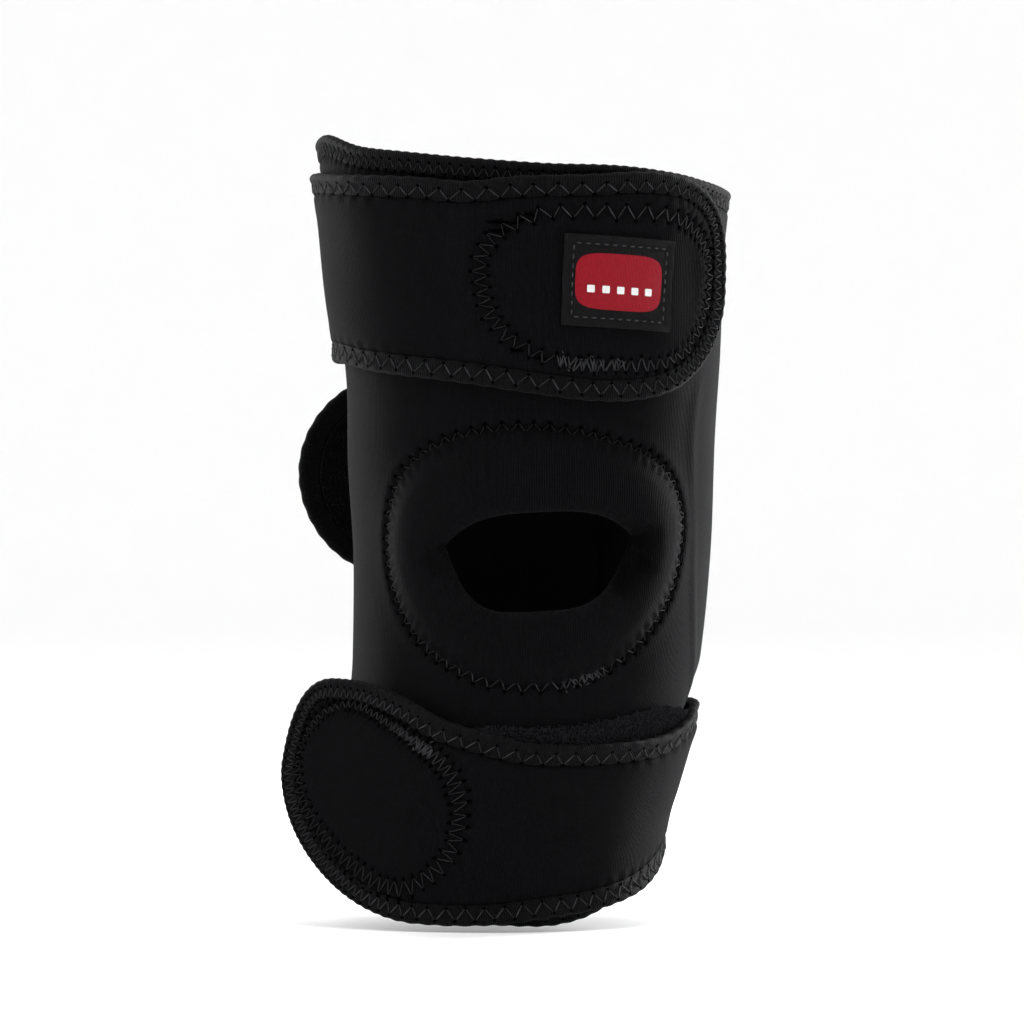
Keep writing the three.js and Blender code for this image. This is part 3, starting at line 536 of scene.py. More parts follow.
def rim_quads(rim, shift):
    rim = np.asarray(rim)
    following = np.roll(rim, -1)
    return np.stack([following, rim, rim + shift, following + shift], -1)


def shell(outer, inner, quads, rims):
    """Closed body between two matching skins."""
    shift = len(outer)
    faces = [quads, quads[:, ::-1] + shift]
    faces += [rim_quads(rim, shift) for rim in rims]
    return np.concatenate([outer, inner]), np.concatenate(faces)


def facing_out(points, quads):
    a, b, c, d = (points[quads[:, k]] for k in range(4))
    volume = (a * np.cross(b, c)).sum() + (a * np.cross(c, d)).sum()
    return quads if volume > 0 else quads[:, ::-1]


def add_piece(name, points, faces, material, node, flat=None, painted_shade=None, smooth_angle=50):
    """A mesh from points in millimetres. Its place on the flat cloth is its UV; its painted shade, which darkens
    the colour in grooves, seams, creases and at stitch ends, is an attribute.
    """
    mesh = bpy.data.meshes.new(name)
    mesh.from_pydata((points * MM).tolist(), [], [list(map(int, face)) for face in faces])
    mesh.validate()
    corners = np.empty(len(mesh.loops), np.int32)
    mesh.loops.foreach_get("vertex_index", corners)
    if flat is not None:
        layer = mesh.uv_layers.new(name="cloth")
        layer.data.foreach_set("uv", np.asarray(flat, np.float32)[corners].ravel())
    if painted_shade is not None:
        attribute = mesh.attributes.new("painted_shade", "FLOAT", "POINT")
        attribute.data.foreach_set("value", np.asarray(painted_shade, np.float32))
    mesh.materials.append(material)
    piece = bpy.data.objects.new(name, mesh)
    bpy.context.scene.collection.objects.link(piece)
    bpy.ops.object.select_all(action="DESELECT")
    piece.select_set(True)
    bpy.context.view_layer.objects.active = piece
    bpy.ops.object.shade_smooth_by_angle(angle=math.radians(smooth_angle))
    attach(piece, "root")
    if node:
        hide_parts(node)
    return piece


# Relief of the cloth. Distances are in millimetres from the fold of the edge tape.

def bound_half(distance):
    """Half the cloth's thickness: pinched in its tape, puffed beside it."""
    return np.interp(distance, (0, 6.0, 6.8, 7.3, 8.0, 9.0, 11.0, 15.0),
                     (0.66, 0.66, 0.8, 1.08, 1.36, 1.52, 1.56, 1.4))


def edge_puckers(distance, phase):
    return 0.22 * bump_shape(distance, 7.6, 1.9) * np.cos(np.pi * phase)


def soft_waves(flat, size):
    """Slow unevenness of worn cloth."""
    x, y = flat[..., 0], flat[..., 1]
    waves = np.sin(x / 17.0 + y / 41.0 + 0.7) + np.sin(x / 29.0 - y / 23.0 + 2.1)
    waves = waves + 0.7 * np.sin(x / 9.5 + y / 13.0 + 4.0) + 0.5 * np.sin(y / 8.0 - x / 31.0 + 1.3)
    return waves * size / 2


def creases(flat, rows):
    """Sum of short sunken lines: each row has both ends, a depth and a half width, in millimetres."""
    total = np.zeros(flat.shape[:-1])
    for x0, y0, x1, y1, depth, width in rows:
        start = np.array([x0, y0])
        run = np.array([x1, y1]) - start
        length = np.linalg.norm(run)
        run /= length
        offset = flat - start
        along = offset @ run
        across = offset @ np.array([-run[1], run[0]])
        past = np.maximum(np.maximum(-along, along - length), 0)
        fade = np.sin(np.pi * np.clip(along / length, 0, 1)) ** 0.5
        total += depth * fade * np.exp(-(across / width) ** 2 - (past / width) ** 2)
    return total


def seam_relief(flat, seam, size, sewing, depth, reach):
    """A sewn line pulls the cloth down, and each needle hole dents the cloth on its side. Gives the distance
    from the line too."""
    path, phase, _ = seam_sewing(seam, size, sewing)
    distance, along = nearest_on_path(flat, path)
    share = (flat - seam_points(seam, 0, 0, np.array([0.0]))) / np.array(size) * 2
    toward = np.degrees(np.arctan2(share[:, 1], share[:, 0]))
    outside = np.where(np.linalg.norm(share, axis=1) > reach_toward(seam, toward), 1, -1)
    wave = np.cos(np.pi * np.interp(along, arc_lengths(path), phase)) * outside
    sunk = -depth * np.exp(-(distance / reach) ** 2)
    pucker = 0.4 * bump_shape(distance, reach * 1.15, reach * 0.6) * wave
    puff = 0.16 * bump_shape(distance, reach * 2.4, reach * 1.2)
    return sunk + pucker + puff, distance


# Stitches

THREAD_SIDES = 6
THREAD_RINGS = 8


def stitch_template():
    """One stitch, modelled once: a round thread one long, in rings along +Z."""
    bpy.ops.object.select_all(action="DESELECT")
    bpy.ops.mesh.primitive_cylinder_add(vertices=THREAD_SIDES, radius=1, depth=1, end_fill_type="NGON",
                                        location=(0, 0, 0.5))
    stitch = bpy.context.object
    bpy.ops.object.transform_apply(location=True, rotation=False, scale=False)
    bpy.ops.object.mode_set(mode="EDIT")
    bpy.ops.mesh.select_all(action="DESELECT")
    bpy.ops.object.mode_set(mode="OBJECT")
    for edge in stitch.data.edges:
        a, b = (stitch.data.vertices[v].co for v in edge.vertices)
        edge.select = abs(a.z - b.z) > 0.5
    bpy.ops.object.mode_set(mode="EDIT")
    bpy.ops.mesh.select_mode(type="EDGE")
    bpy.ops.mesh.subdivide(number_cuts=THREAD_RINGS - 2)
    bpy.ops.mesh.select_all(action="SELECT")
    bpy.ops.mesh.normals_make_consistent(inside=False)
    bpy.ops.object.mode_set(mode="OBJECT")
    points = np.array([v.co for v in stitch.data.vertices])
    faces = [list(polygon.vertices) for polygon in stitch.data.polygons]
    mesh = stitch.data
    bpy.data.objects.remove(stitch)
    bpy.data.meshes.remove(mesh)
    return points, faces


def sew(name, starts, ends, place, lie, material, radius, sink=0.75, arch=0.12, painted_light_and_tone=1.0):
    """Copies of one stitch between pairs of needle holes on the flat cloth. lie(flat) is the height of
    the surface that the thread lies on."""
    template, template_faces = stitch_template()
    along = template[:, 2]
    flat = starts[:, None, :] + (ends - starts)[:, None, :] * along[None, :, None]
    arc = np.sin(np.pi * along)
    dip = np.clip(arc / 0.5, 0, 1) ** 0.6
    height = lie(flat) + radius * 0.75 + arch * arc - sink * (1 - dip)
    middle = place(flat, height)
    above = place(flat, height + 0.5)
    up = above - middle
    up /= np.linalg.norm(up, axis=-1, keepdims=True)
    run = place(ends, lie(ends)) - place(starts, lie(starts))
    run = run / np.linalg.norm(run, axis=-1, keepdims=True)
    across = np.cross(run[:, None, :], up)
    across /= np.linalg.norm(across, axis=-1, keepdims=True)
    slim = radius * (0.72 + 0.28 * arc)
    points = middle + across * (template[:, 0] * slim)[None, :, None]
    points = points + up * (template[:, 1] * slim)[None, :, None]
    faces = []
    size = len(template)
    for stitch in range(len(starts)):
        faces += [[corner + stitch * size for corner in face] for face in template_faces]
    length = np.linalg.norm(ends - starts, axis=1)
    round_thread = np.broadcast_to(np.arctan2(template[:, 1], template[:, 0]), (len(starts), size))
    uv = np.stack([along[None, :] * length[:, None], round_thread], -1)
    # Painted shade and light on the thread: each stitch is painted darker towards its ends, where it dips into the
    # cloth, and scaled by its painted light, which for pile tufts is a random tone.
    painted_shade = (0.06 + 0.94 * arc ** 1.3)[None, :] * np.broadcast_to(painted_light_and_tone, len(starts))[:, None]
    return add_piece(name, points.reshape(-1, 3), faces, material, None, uv.reshape(-1, 2),
                     painted_shade.ravel(), 70)


NEEDLE_SIDES = 8


def painted_hole_shade(name, centres, directions, place, lie, length, width):
    """Painted shade of the dents where the needle went in: small closed black lenses just over the cloth."""
    angle = np.arange(NEEDLE_SIDES) * 2 * np.pi / NEEDLE_SIDES
    directions = directions / np.maximum(np.linalg.norm(directions, axis=1, keepdims=True), 1e-9)
    sideways = np.stack([-directions[:, 1], directions[:, 0]], -1)
    length = np.broadcast_to(np.asarray(length, float), len(centres))[:, None, None]
    rim = centres[:, None, :] + directions[:, None, :] * np.cos(angle)[None, :, None] * length / 2
    rim = rim + sideways[:, None, :] * (np.sin(angle) * width / 2)[None, :, None]
    flat = np.concatenate([rim, centres[:, None, :], centres[:, None, :]], 1)
    lift = np.array([0.02] * NEEDLE_SIDES + [0.07, -0.25])
    points = place(flat, lie(flat) + lift[None, :])
    size = NEEDLE_SIDES + 2
    first = np.arange(NEEDLE_SIDES)
    after = np.roll(first, -1)
    top = np.full(NEEDLE_SIDES, NEEDLE_SIDES)
    lens = np.concatenate([np.stack([first, after, top], -1), np.stack([after, first, top + 1], -1)])
    a, b, c = (points[0][lens[:, k]] for k in range(3))
    if (a * np.cross(b, c)).sum() < (points[0].mean(0) * np.cross(b - a, c - a)).sum():
        lens = lens[:, ::-1]
    faces = (np.arange(len(centres))[:, None, None] * size + lens[None]).reshape(-1, 3)
    return add_piece(name, points.reshape(-1, 3), faces, finish("needle"), None)


def stitch_phase(along, pitch):
    """Stitches passed at each point of a path, two to a pitch. Near holes have even numbers, far ones odd."""
    pitch = np.broadcast_to(np.asarray(pitch, float), along.shape)
    passed = np.concatenate([[0], np.cumsum(np.diff(along) / ((pitch[1:] + pitch[:-1]) / 4))])
    return passed * round(passed[-1] / 2) * 2 / passed[-1]


def zigzag_holes(path, inward, near, far, pitch, seed, jitter=0.12):
    """Needle holes that go to and fro between two distances from a path, half a pitch apart. The pitch and
    the distances are single numbers or one for each point of the path."""
    along = arc_lengths(path)
    passed = stitch_phase(along, pitch)
    count = round(passed[-1])
    at = np.interp(np.arange(count + 1), passed, along)
    base = np.stack([np.interp(at, along, path[:, k]) for k in (0, 1)], -1)
    across = np.stack([np.interp(at, along, inward[:, k]) for k in (0, 1)], -1)
    noise = np.random.default_rng(seed).normal(0, jitter, (count + 1, 2))
    near = np.interp(at, along, np.broadcast_to(near, len(along)))
    far = np.interp(at, along, np.broadcast_to(far, len(along)))
    inset = np.where(np.arange(count + 1) % 2 == 0, near, far)
    return base + across * inset[:, None] + noise, at


# Materials

def node_group(name, inputs, outputs):
    group = bpy.data.node_groups.new(name, "ShaderNodeTree")
    for label, kind, value in inputs:
        socket = group.interface.new_socket(label, in_out="INPUT", socket_type=kind)
        if value is not None:
            socket.default_value = value
    for label, kind in outputs:
        group.interface.new_socket(label, in_out="OUTPUT", socket_type=kind)
    return group, group.nodes.new("NodeGroupInput"), group.nodes.new("NodeGroupOutput")


def math_node(tree, operation, first, second=None):
    node = tree.nodes.new("ShaderNodeMath")
    node.operation = operation
    for socket, value in zip(node.inputs, (first, second)):
        if value is None:
            continue
        if isinstance(value, (int, float)):
            socket.default_value = value
        else:
            tree.links.new(value, socket)
    return node.outputs[0]


def rib_group():
    """Ribs at a pitch along U, broken up by the knit's own stitches along V."""
    group, entry, leave = node_group(
        "Knit ribs",
        [("Flat place", "NodeSocketVector", None), ("Rib pitch", "NodeSocketFloat", 0.74),
         ("Course pitch", "NodeSocketFloat", 0.6), ("Course depth", "NodeSocketFloat", 0.5)],
        [("Height", "NodeSocketFloat"), ("Grain", "NodeSocketFloat")])
    split = group.nodes.new("ShaderNodeSeparateXYZ")
    group.links.new(entry.outputs["Flat place"], split.inputs[0])
    turns = math_node(group, "DIVIDE", split.outputs["X"], entry.outputs["Rib pitch"])
    rib = math_node(group, "SINE", math_node(group, "MULTIPLY", turns, 2 * math.pi))
    # Every second course steps half a rib aside, as loops of a knit do
    lines = math_node(group, "DIVIDE", split.outputs["Y"], entry.outputs["Course pitch"])
    course = math_node(group, "SINE", math_node(group, "MULTIPLY", lines, 2 * math.pi))
    loops = math_node(group, "MULTIPLY", math_node(group, "MULTIPLY", course, rib), entry.outputs["Course depth"])
    group.links.new(math_node(group, "ADD", rib, loops), leave.inputs["Height"])
    noise = group.nodes.new("ShaderNodeTexNoise")
    noise.inputs["Scale"].default_value = 0.9
    noise.inputs["Detail"].default_value = 4
    noise.inputs["Roughness"].default_value = 0.75
    group.links.new(entry.outputs["Flat place"], noise.inputs["Vector"])
    spread = group.nodes.new("ShaderNodeMapRange")
    spread.inputs["From Min"].default_value = 0.35
    spread.inputs["From Max"].default_value = 0.65
    group.links.new(noise.outputs[0], spread.inputs["Value"])
    group.links.new(spread.outputs[0], leave.inputs["Grain"])
    return group


def lint_group():
    """Fine pale lint and rubbed places, from Object coordinates in metres."""
    group, entry, leave = node_group(
        "Lint and rubbing",
        [("Place", "NodeSocketVector", None), ("Lint size", "NodeSocketFloat", 1600.0),
         ("Rub size", "NodeSocketFloat", 30.0)],
        [("Lint", "NodeSocketFloat"), ("Rubbing", "NodeSocketFloat")])
    fine = group.nodes.new("ShaderNodeTexNoise")
    fine.inputs["Detail"].default_value = 3
    group.links.new(entry.outputs["Place"], fine.inputs["Vector"])
    group.links.new(entry.outputs["Lint size"], fine.inputs["Scale"])
    ramp = group.nodes.new("ShaderNodeMapRange")
    ramp.inputs["From Min"].default_value = 0.55
    ramp.inputs["From Max"].default_value = 0.8
    group.links.new(fine.outputs[0], ramp.inputs["Value"])
    group.links.new(ramp.outputs[0], leave.inputs["Lint"])
    broad = group.nodes.new("ShaderNodeTexNoise")
    broad.inputs["Detail"].default_value = 4
    group.links.new(entry.outputs["Place"], broad.inputs["Vector"])
    group.links.new(entry.outputs["Rub size"], broad.inputs["Scale"])
    group.links.new(broad.outputs[0], leave.inputs["Rubbing"])
    return group


def mixed(tree, factor, first, second, blend="MIX"):
    node = tree.nodes.new("ShaderNodeMix")
    node.data_type = "RGBA"
    node.blend_type = blend
    for socket, value in ((node.inputs[0], factor), (node.inputs[6], first), (node.inputs[7], second)):
        if isinstance(value, (int, float)):
            socket.default_value = value
        elif isinstance(value, (tuple, list)):
            socket.default_value = (*value[:3], 1)
        else:
            tree.links.new(value, socket)
    return node.outputs[2]


def cloth_material(name, colour, ribs, lint, rib_pitch, course_pitch, course_depth, rib_depth, roughness,
                   sheen, grain=0.35, specular=0.05, lint_strength=0.25):
    material = bpy.data.materials.new(name)
    material.use_nodes = True
    tree = material.node_tree
    shader = tree.nodes["Principled BSDF"]
    uv = tree.nodes.new("ShaderNodeUVMap")
    uv.uv_map = "cloth"
    rib = tree.nodes.new("ShaderNodeGroup")
    rib.node_tree = ribs
    tree.links.new(uv.outputs[0], rib.inputs["Flat place"])
    rib.inputs["Rib pitch"].default_value = rib_pitch
    rib.inputs["Course pitch"].default_value = course_pitch
    rib.inputs["Course depth"].default_value = course_depth
    place = tree.nodes.new("ShaderNodeTexCoord")
    wear = tree.nodes.new("ShaderNodeGroup")
    wear.node_tree = lint
    tree.links.new(place.outputs["Object"], wear.inputs["Place"])
    painted_shade = tree.nodes.new("ShaderNodeAttribute")
    painted_shade.attribute_name = "painted_shade"
    dark = tuple(channel * (1 - grain) for channel in colour)
    light = tuple(channel * (1 + grain) for channel in colour)
    base = mixed(tree, rib.outputs["Grain"], dark, light)
    # Painted highlight on the rib crests and painted shade in the rib valleys: the colour follows the ribs'
    # height.
    painted_crest_light = math_node(tree, "MULTIPLY", math_node(tree, "ADD", rib.outputs["Height"], 1.0), 0.5 * grain)
    base = mixed(tree, painted_crest_light, base, tuple(channel * 2.2 for channel in colour))
    fleck = math_node(tree, "MULTIPLY", wear.outputs["Lint"], lint_strength)
    base = mixed(tree, fleck, base, tuple(min(1, channel * 3 + 0.006) for channel in colour))
    # Painted shade: the per-point attribute blends the colour toward near black in grooves, seams, creases and at
    # the ends of stitches.
    base = mixed(tree, painted_shade.outputs["Fac"], (0.0006, 0.0006, 0.0007), base)
    tree.links.new(base, shader.inputs["Base Color"])
    rough = tree.nodes.new("ShaderNodeMapRange")
    rough.inputs["To Min"].default_value = roughness - 0.06
    rough.inputs["To Max"].default_value = roughness + 0.06
    tree.links.new(wear.outputs["Rubbing"], rough.inputs["Value"])
    tree.links.new(rough.outputs[0], shader.inputs["Roughness"])
    surface = math_node(tree, "ADD", rib.outputs["Height"], math_node(tree, "MULTIPLY", rib.outputs["Grain"], 1.5))
    bump = tree.nodes.new("ShaderNodeBump")
    bump.inputs["Strength"].default_value = 1
    bump.inputs["Distance"].default_value = rib_depth * MM
    tree.links.new(surface, bump.inputs["Height"])
    tree.links.new(bump.outputs[0], shader.inputs["Normal"])
    shader.inputs["Specular IOR Level"].default_value = specular
    shader.inputs["Sheen Weight"].default_value = sheen
    shader.inputs["Sheen Roughness"].default_value = 0.45
    shader.inputs["Sheen Tint"].default_value = (0.8, 0.82, 0.9, 1)
    return material


def plain_material(name, colour, roughness, specular=0.1):
    material = bpy.data.materials.new(name)
    material.use_nodes = True
    shader = material.node_tree.nodes["Principled BSDF"]
    shader.inputs["Base Color"].default_value = (*colour, 1)
    shader.inputs["Roughness"].default_value = roughness
    shader.inputs["Specular IOR Level"].default_value = specular
    return material


def make_materials():
    """The finishes, built once: knit, tape, thread, hook, pile, label, block and squares."""
    ribs = rib_group()
    lint = lint_group()
    tone = colours()
    size = sizes()
    knit_pitch = size.knit_pitch / MM
    tape_pitch = size.tape_pitch / MM
    made = {
        "knit": cloth_material("Knit face", tone.knit, ribs, lint, knit_pitch, 0.5, 0.6, 0.045, 0.86, 0.014,
                               grain=0.6, specular=0.03),
        "tape": cloth_material("Binding tape", tone.tape, ribs, lint, tape_pitch, 1.9, 0.2, 0.13, 0.76, 0.022),
        "thread": cloth_material("Sewing thread", tone.thread, ribs, lint, 0.5, 3.1, 0.6, 0.08, 0.55, 0.04,
                                 grain=0.25, specular=0.12),
        "hook": cloth_material("Hook cloth", tone.hook, ribs, lint, 1.5, 1.3, 1.6, 0.35, 0.8, 0.01, specular=0.05),
        "pile": cloth_material("Loop pile", tone.pile, ribs, lint, 0.9, 0.8, 1.2, 0.25, 0.9, 0.05),
        # Painted highlight: the tufts are the pile's own yarn, with its colour painted ten times lighter where the
        # loops catch the light.
        "pile tufts": cloth_material("Loop pile tufts", tuple(10 * channel for channel in tone.pile), ribs, lint,
                                     0.9, 0.8, 1.2, 0.1, 0.9, 0.05),
        # A black, matte material for the lenses of painted shade at the needle holes and in the pleats.
        "needle": plain_material("Painted needle hole shade", (0.0004, 0.0004, 0.0005), 1.0, 0.0),
        "label": cloth_material("Woven label", tone.label, ribs, lint, 0.42, 0.42, 0.9, 0.05, 0.6, 0.015,
                                grain=0.2, specular=0.06, lint_strength=0.1),
        "block": cloth_material("Woven block", tone.block, ribs, lint, 0.5, 0.36, 0.9, 0.06, 0.55, 0.03,
                                grain=0.12, specular=0.1, lint_strength=0.0),
        "squares": cloth_material("White squares", tone.squares, ribs, lint, 0.4, 0.36, 0.9, 0.05, 0.5, 0.03,
                                  grain=0.05, specular=0.3, lint_strength=0.0),
    }
    return made


MATERIALS = {}


def finish(name):
    if not MATERIALS:
        MATERIALS.update(make_materials())
    return MATERIALS[name]


# Pieces

CLOTH_INSETS = (1.0, 3.5, 5.8, 6.5, 7.0, 7.5, 8.1, 8.8, 9.7, 10.8)
TAPE_SKIN = (
    (6.85, 0.98), (6.8, 1.22), (6.55, 1.38), (6.0, 1.38), (5.2, 1.3), (4.4, 1.28), (3.7, 1.34), (3.1, 1.48),
    (2.6, 1.68), (2.0, 1.84), (1.35, 1.86), (0.75, 1.64), (0.3, 1.2), (0.06, 0.62), (0, 0),
)
TAPE_INSIDE = ((6.85, -0.9), (1.3, -0.9), (1.3, 0.9), (6.85, 0.9))


def tape_height(inset):
    skin = np.array(TAPE_SKIN)[::-1]
    return np.interp(inset, skin[:, 0], skin[:, 1])


def bound_cloth(name, node, strap, step, relief):
    """A strap's cloth: rings of faces along its bound edge and cross rows inside them."""
    place = strap_placer(strap)
    top, arc, bottom = strap_outline(strap, step)
    columns, rows = len(top) - 1, len(arc) - 1
    path = np.concatenate([top, arc[1:-1], bottom[::-1]])
    ring = len(path)
    inward = inward_directions(path, strap_side(strap))
    flat = [path + inward * inset for inset in CLOTH_INSETS]
    last = flat[-1]
    quads = []
    for band in range(len(CLOTH_INSETS) - 1):
        a = band * ring + np.arange(ring - 1)
        quads.append(np.stack([a, a + 1, a + 1 + ring, a + ring], -1))
    start = (len(CLOTH_INSETS) - 1) * ring
    index = np.empty((columns + 1, rows + 1), int)
    index[:, 0] = start + np.arange(columns + 1)
    index[:, rows] = start + ring - 1 - np.arange(columns + 1)
    index[columns, :] = start + columns + np.arange(rows + 1)
    share = np.arange(1, rows) / rows
    end_from, end_to = last[columns], last[ring - 1 - columns]
    bulge = last[columns + 1:columns + rows] - (end_from + (end_to - end_from) * share[:, None])
    bend_columns = max(4, int(20 / step))
    inside = []
    for i in range(columns):
        a, b = last[i], last[ring - 1 - i]
        weight = max(0.0, (i - (columns - bend_columns)) / bend_columns) ** 2
        inside.append(a + (b - a) * share[:, None] + bulge * weight)
        index[i, 1:rows] = len(CLOTH_INSETS) * ring + i * (rows - 1) + np.arange(rows - 1)
    flat = np.concatenate(flat + inside)
    quads.append(np.stack([index[:-1, :-1], index[1:, :-1], index[1:, 1:], index[:-1, 1:]], -1).reshape(-1, 4))
    quads = np.concatenate(quads)
    bands = np.arange(1, len(CLOTH_INSETS))
    rim = np.concatenate([np.arange(ring), bands * ring + ring - 1, index[0, 1:rows][::-1], bands[::-1] * ring])
    distance, along = nearest_on_path(flat, path)
    half = bound_half(distance)
    outer_extra, painted_shade = relief(flat, distance, along)
    turn = length_to_turn(flat[:, 0])
    root = np.abs(turn_to_length(turn - strap["root"]))
    press = 1 - 0.55 * (1 - smoothstep(root, 0.5, 6.0))
    outer = place(flat, half * press + outer_extra - (CLOTH / 2) * (1 - press))
    inner = place(flat, -half)
    points, faces = shell(outer, inner, quads, [rim])
    uv = np.concatenate([flat, flat])
    painted_shade = np.concatenate([painted_shade, np.ones(len(flat))])
    return add_piece(name, points, facing_out(points, faces), finish("knit"), node, uv, painted_shade)


def folded_tape(name, node, path, side, place, pitch):
    """Folded tape along an edge. It is drawn in where the zigzag holds it, so its rim has soft scallops."""
    inward = inward_directions(path, side)
    along = arc_lengths(path)
    skin = np.array(TAPE_SKIN)
    below = skin[::-1][1:] * np.array([1, -0.92])
    section = np.concatenate([skin, below, np.array(TAPE_INSIDE)])
    count, corners = len(path), len(section)
    inset = section[None, :, 0] + np.zeros((count, 1))
    height = section[None, :, 1] + np.zeros((count, 1))
    wave = np.cos(np.pi * stitch_phase(along, pitch))[:, None]
    on_rim = np.exp(-((inset - 1.6) / 1.1) ** 2)
    on_seam = np.exp(-((inset - 5.2) / 1.4) ** 2)
    outside = np.abs(height) > 1.0
    height = height + np.where(outside, np.sign(height) * (0.12 * wave * on_seam - 0.09 * wave * on_rim), 0)
    inset = inset + np.where(inset < 1.0, 0.14 * wave, 0)
    inset = inset + np.where(inset > 6.4, 0.16 * wave, 0)
    flat = path[:, None, :] + inward[:, None, :] * inset[..., None]
    points = place(flat, height).reshape(-1, 3)
    ring = np.arange(corners)
    following = np.roll(ring, -1)
    base = np.arange(count - 1)[:, None] * corners
    quads = np.stack([base + ring, base + following, base + corners + following, base + corners + ring], -1)
    quads = quads.reshape(-1, 4)
    faces = [list(map(int, quad)) for quad in facing_out(points, quads)]
    flipped = faces[0] != list(map(int, quads[0]))
    first, final = list(map(int, ring)), [int(v) + (count - 1) * corners for v in ring]
    faces += [first[::-1], final] if not flipped else [first, final[::-1]]
    uv = np.stack([np.broadcast_to(along[:, None], inset.shape), np.broadcast_to(inset, inset.shape)], -1)
    # Painted shade along the groove at the tape's inner edge, and on the tape's inner faces.
    painted_groove_shade = 1 - 0.55 * np.exp(-((inset - 6.85) / 0.35) ** 2)
    painted_groove_shade = np.where(np.abs(height) < 1.0, 0.4, painted_groove_shade)
    return add_piece(name, points, faces, finish("tape"), node, uv.reshape(-1, 2), painted_groove_shade.ravel())


def edge_stitches(name, path, side, place, pitch, near, far, seed, painted_light_and_tone=1.0):
    """Zigzag through the tape, with painted light on the thread and a dark lens of painted shade at each needle
    hole.
    """
    inward = inward_directions(path, side)
    holes, at = zigzag_holes(path, inward, near, far, pitch, seed)

    def lie(flat):
        distance, _ = nearest_on_path(flat.reshape(-1, 2), path)
        return tape_height(distance).reshape(flat.shape[:-1])

    radius = sizes().thread_width / MM / 2
    # Painted light on each stitch, times a random tone.
    shown = np.interp(at, arc_lengths(path), np.broadcast_to(painted_light_and_tone, len(path)))
    seam = sew(name, holes[:-1], holes[1:], place, lie, finish("thread"), radius,
               painted_light_and_tone=(shown[:-1] + shown[1:]) / 2 * painted_stitch_light_and_tone(len(holes) - 1, seed))
    onward = holes[[*range(1, len(holes)), -2]] - holes
    # Dark lenses of painted shade at the needle holes.
    dents = painted_hole_shade(f"{name}_holes", holes, onward, place, lie, *TAPE_HOLE)
    return [seam, dents]


def painted_stitch_light_and_tone(count, seed):
    """How light each stitch is painted: every second one lighter, a painted highlight on the leg of the zigzag
    that the light falls on, times a random tone.
    """
    random = np.random.default_rng(seed + 500)
    return np.where(np.arange(count) % 2 == 0, 1.0, 0.45) * random.uniform(0.6, 1.0, count)


def strap_tip_at(strap, path):
    """Distance along a strap's path to its tip."""
    return float(arc_lengths(path)[int(np.argmax(path[:, 0] * strap_side(strap)))])


def edge_pitch(path, tip_at, edge):
    """Pitch along a strap's edge, and a share that is 1 on its first edge and 0 on the other."""
    along = arc_lengths(path)
    pitch = np.interp(np.abs(along - tip_at), edge["from_tip"], edge["pitch"])
    return pitch, 1 - smoothstep(along, tip_at - 15, tip_at + 15)


def strap_relief(strap, edge, lines=(), seams=()):
    """Relief of a strap's face from its edge, soft waves, creases and sewn seams, with painted shade in the groove
    beside the tape, along the seams and in the creases.
    """
    path = strap_path(strap, 0.8)
    lengths = arc_lengths(path)
    phase = stitch_phase(lengths, edge_pitch(path, strap_tip_at(strap, path), edge)[0])

    def relief(flat, distance, along):
        height = edge_puckers(distance, np.interp(along / along.max() * lengths[-1], lengths, phase))
        height += soft_waves(flat, 0.25) * smoothstep(distance, 8, 20)
        # Painted shade: darker in the groove beside the tape, along sewn seams and in creases.
        painted_shade = 1 - 0.9 * bump_shape(distance, 7.0, 0.55)
        for seam, size, sewing, depth, reach in seams:
            sewn, gap = seam_relief(flat, seam, size, sewing, depth, reach)
            height += sewn
            painted_shade -= 0.25 * np.exp(-(gap / reach) ** 2)
        sunk = creases(flat, lines) if len(lines) else np.zeros(len(flat))
        return height - sunk, np.clip(painted_shade - sunk * 0.8, 0.05, 1)
    return relief


def seam_path(seam, size, step=0.4):
    degrees = np.linspace(0, 360, 721)
    path = seam_points(seam, *size, degrees)
    return resample(path, int(arc_lengths(path)[-1] / step))


def seam_toward(seam, size, path):
    """Direction in degrees of each point of a closed seam from its middle."""
    middle = seam_points(seam, 0, 0, np.array([0.0]))[0]
    share = (path - middle) / np.array(size)
    return np.mod(np.degrees(np.arctan2(share[:, 1], share[:, 0])), 360)


def seam_sewing(seam, size, sewing):
    """Path of a closed seam, its stitch phase, and its pitch, width and painted light on the thread along it."""
    path = seam_path(seam, size)
    toward = seam_toward(seam, size, path)
    columns = [np.interp(toward, sewing["toward"], sewing[column]) for column in ("pitch", "width", "painted_light_and_tone")]
    return path, stitch_phase(arc_lengths(path), columns[0]), columns


def seam_stitches(name, seam, size, sewing, place, lie, seed, jitter=0.25, hole=PATCH_HOLE):
    """Zigzag along a closed seam, with its pitch, width and painted light on the thread by direction, and dark
    lenses of painted shade at the needle holes.
    """
    path, _, (pitch, width, painted_light_and_tone) = seam_sewing(seam, size, sewing)
    inward = inward_directions(path[:-1], 1, closed=True)
    inward = np.concatenate([inward, inward[:1]])
    holes, at = zigzag_holes(path, inward, -width / 2, width / 2, pitch, seed, jitter)
    radius = sizes().thread_width / MM / 2
    # Painted light on each stitch, times a random tone.
    shown = np.interp(at, arc_lengths(path), painted_light_and_tone)
    threads = sew(name, holes[:-1], holes[1:], place, lie, finish("thread"), radius,
                  painted_light_and_tone=(shown[:-1] + shown[1:]) / 2 * painted_stitch_light_and_tone(len(holes) - 1, seed))
    across = np.stack([np.interp(at, arc_lengths(path), inward[:, k]) for k in (0, 1)], -1)
    # Dark lenses of painted shade at the needle holes.
    dents = painted_hole_shade(f"{name}_holes", holes, across, place, lie, *hole)
    return [threads, dents]


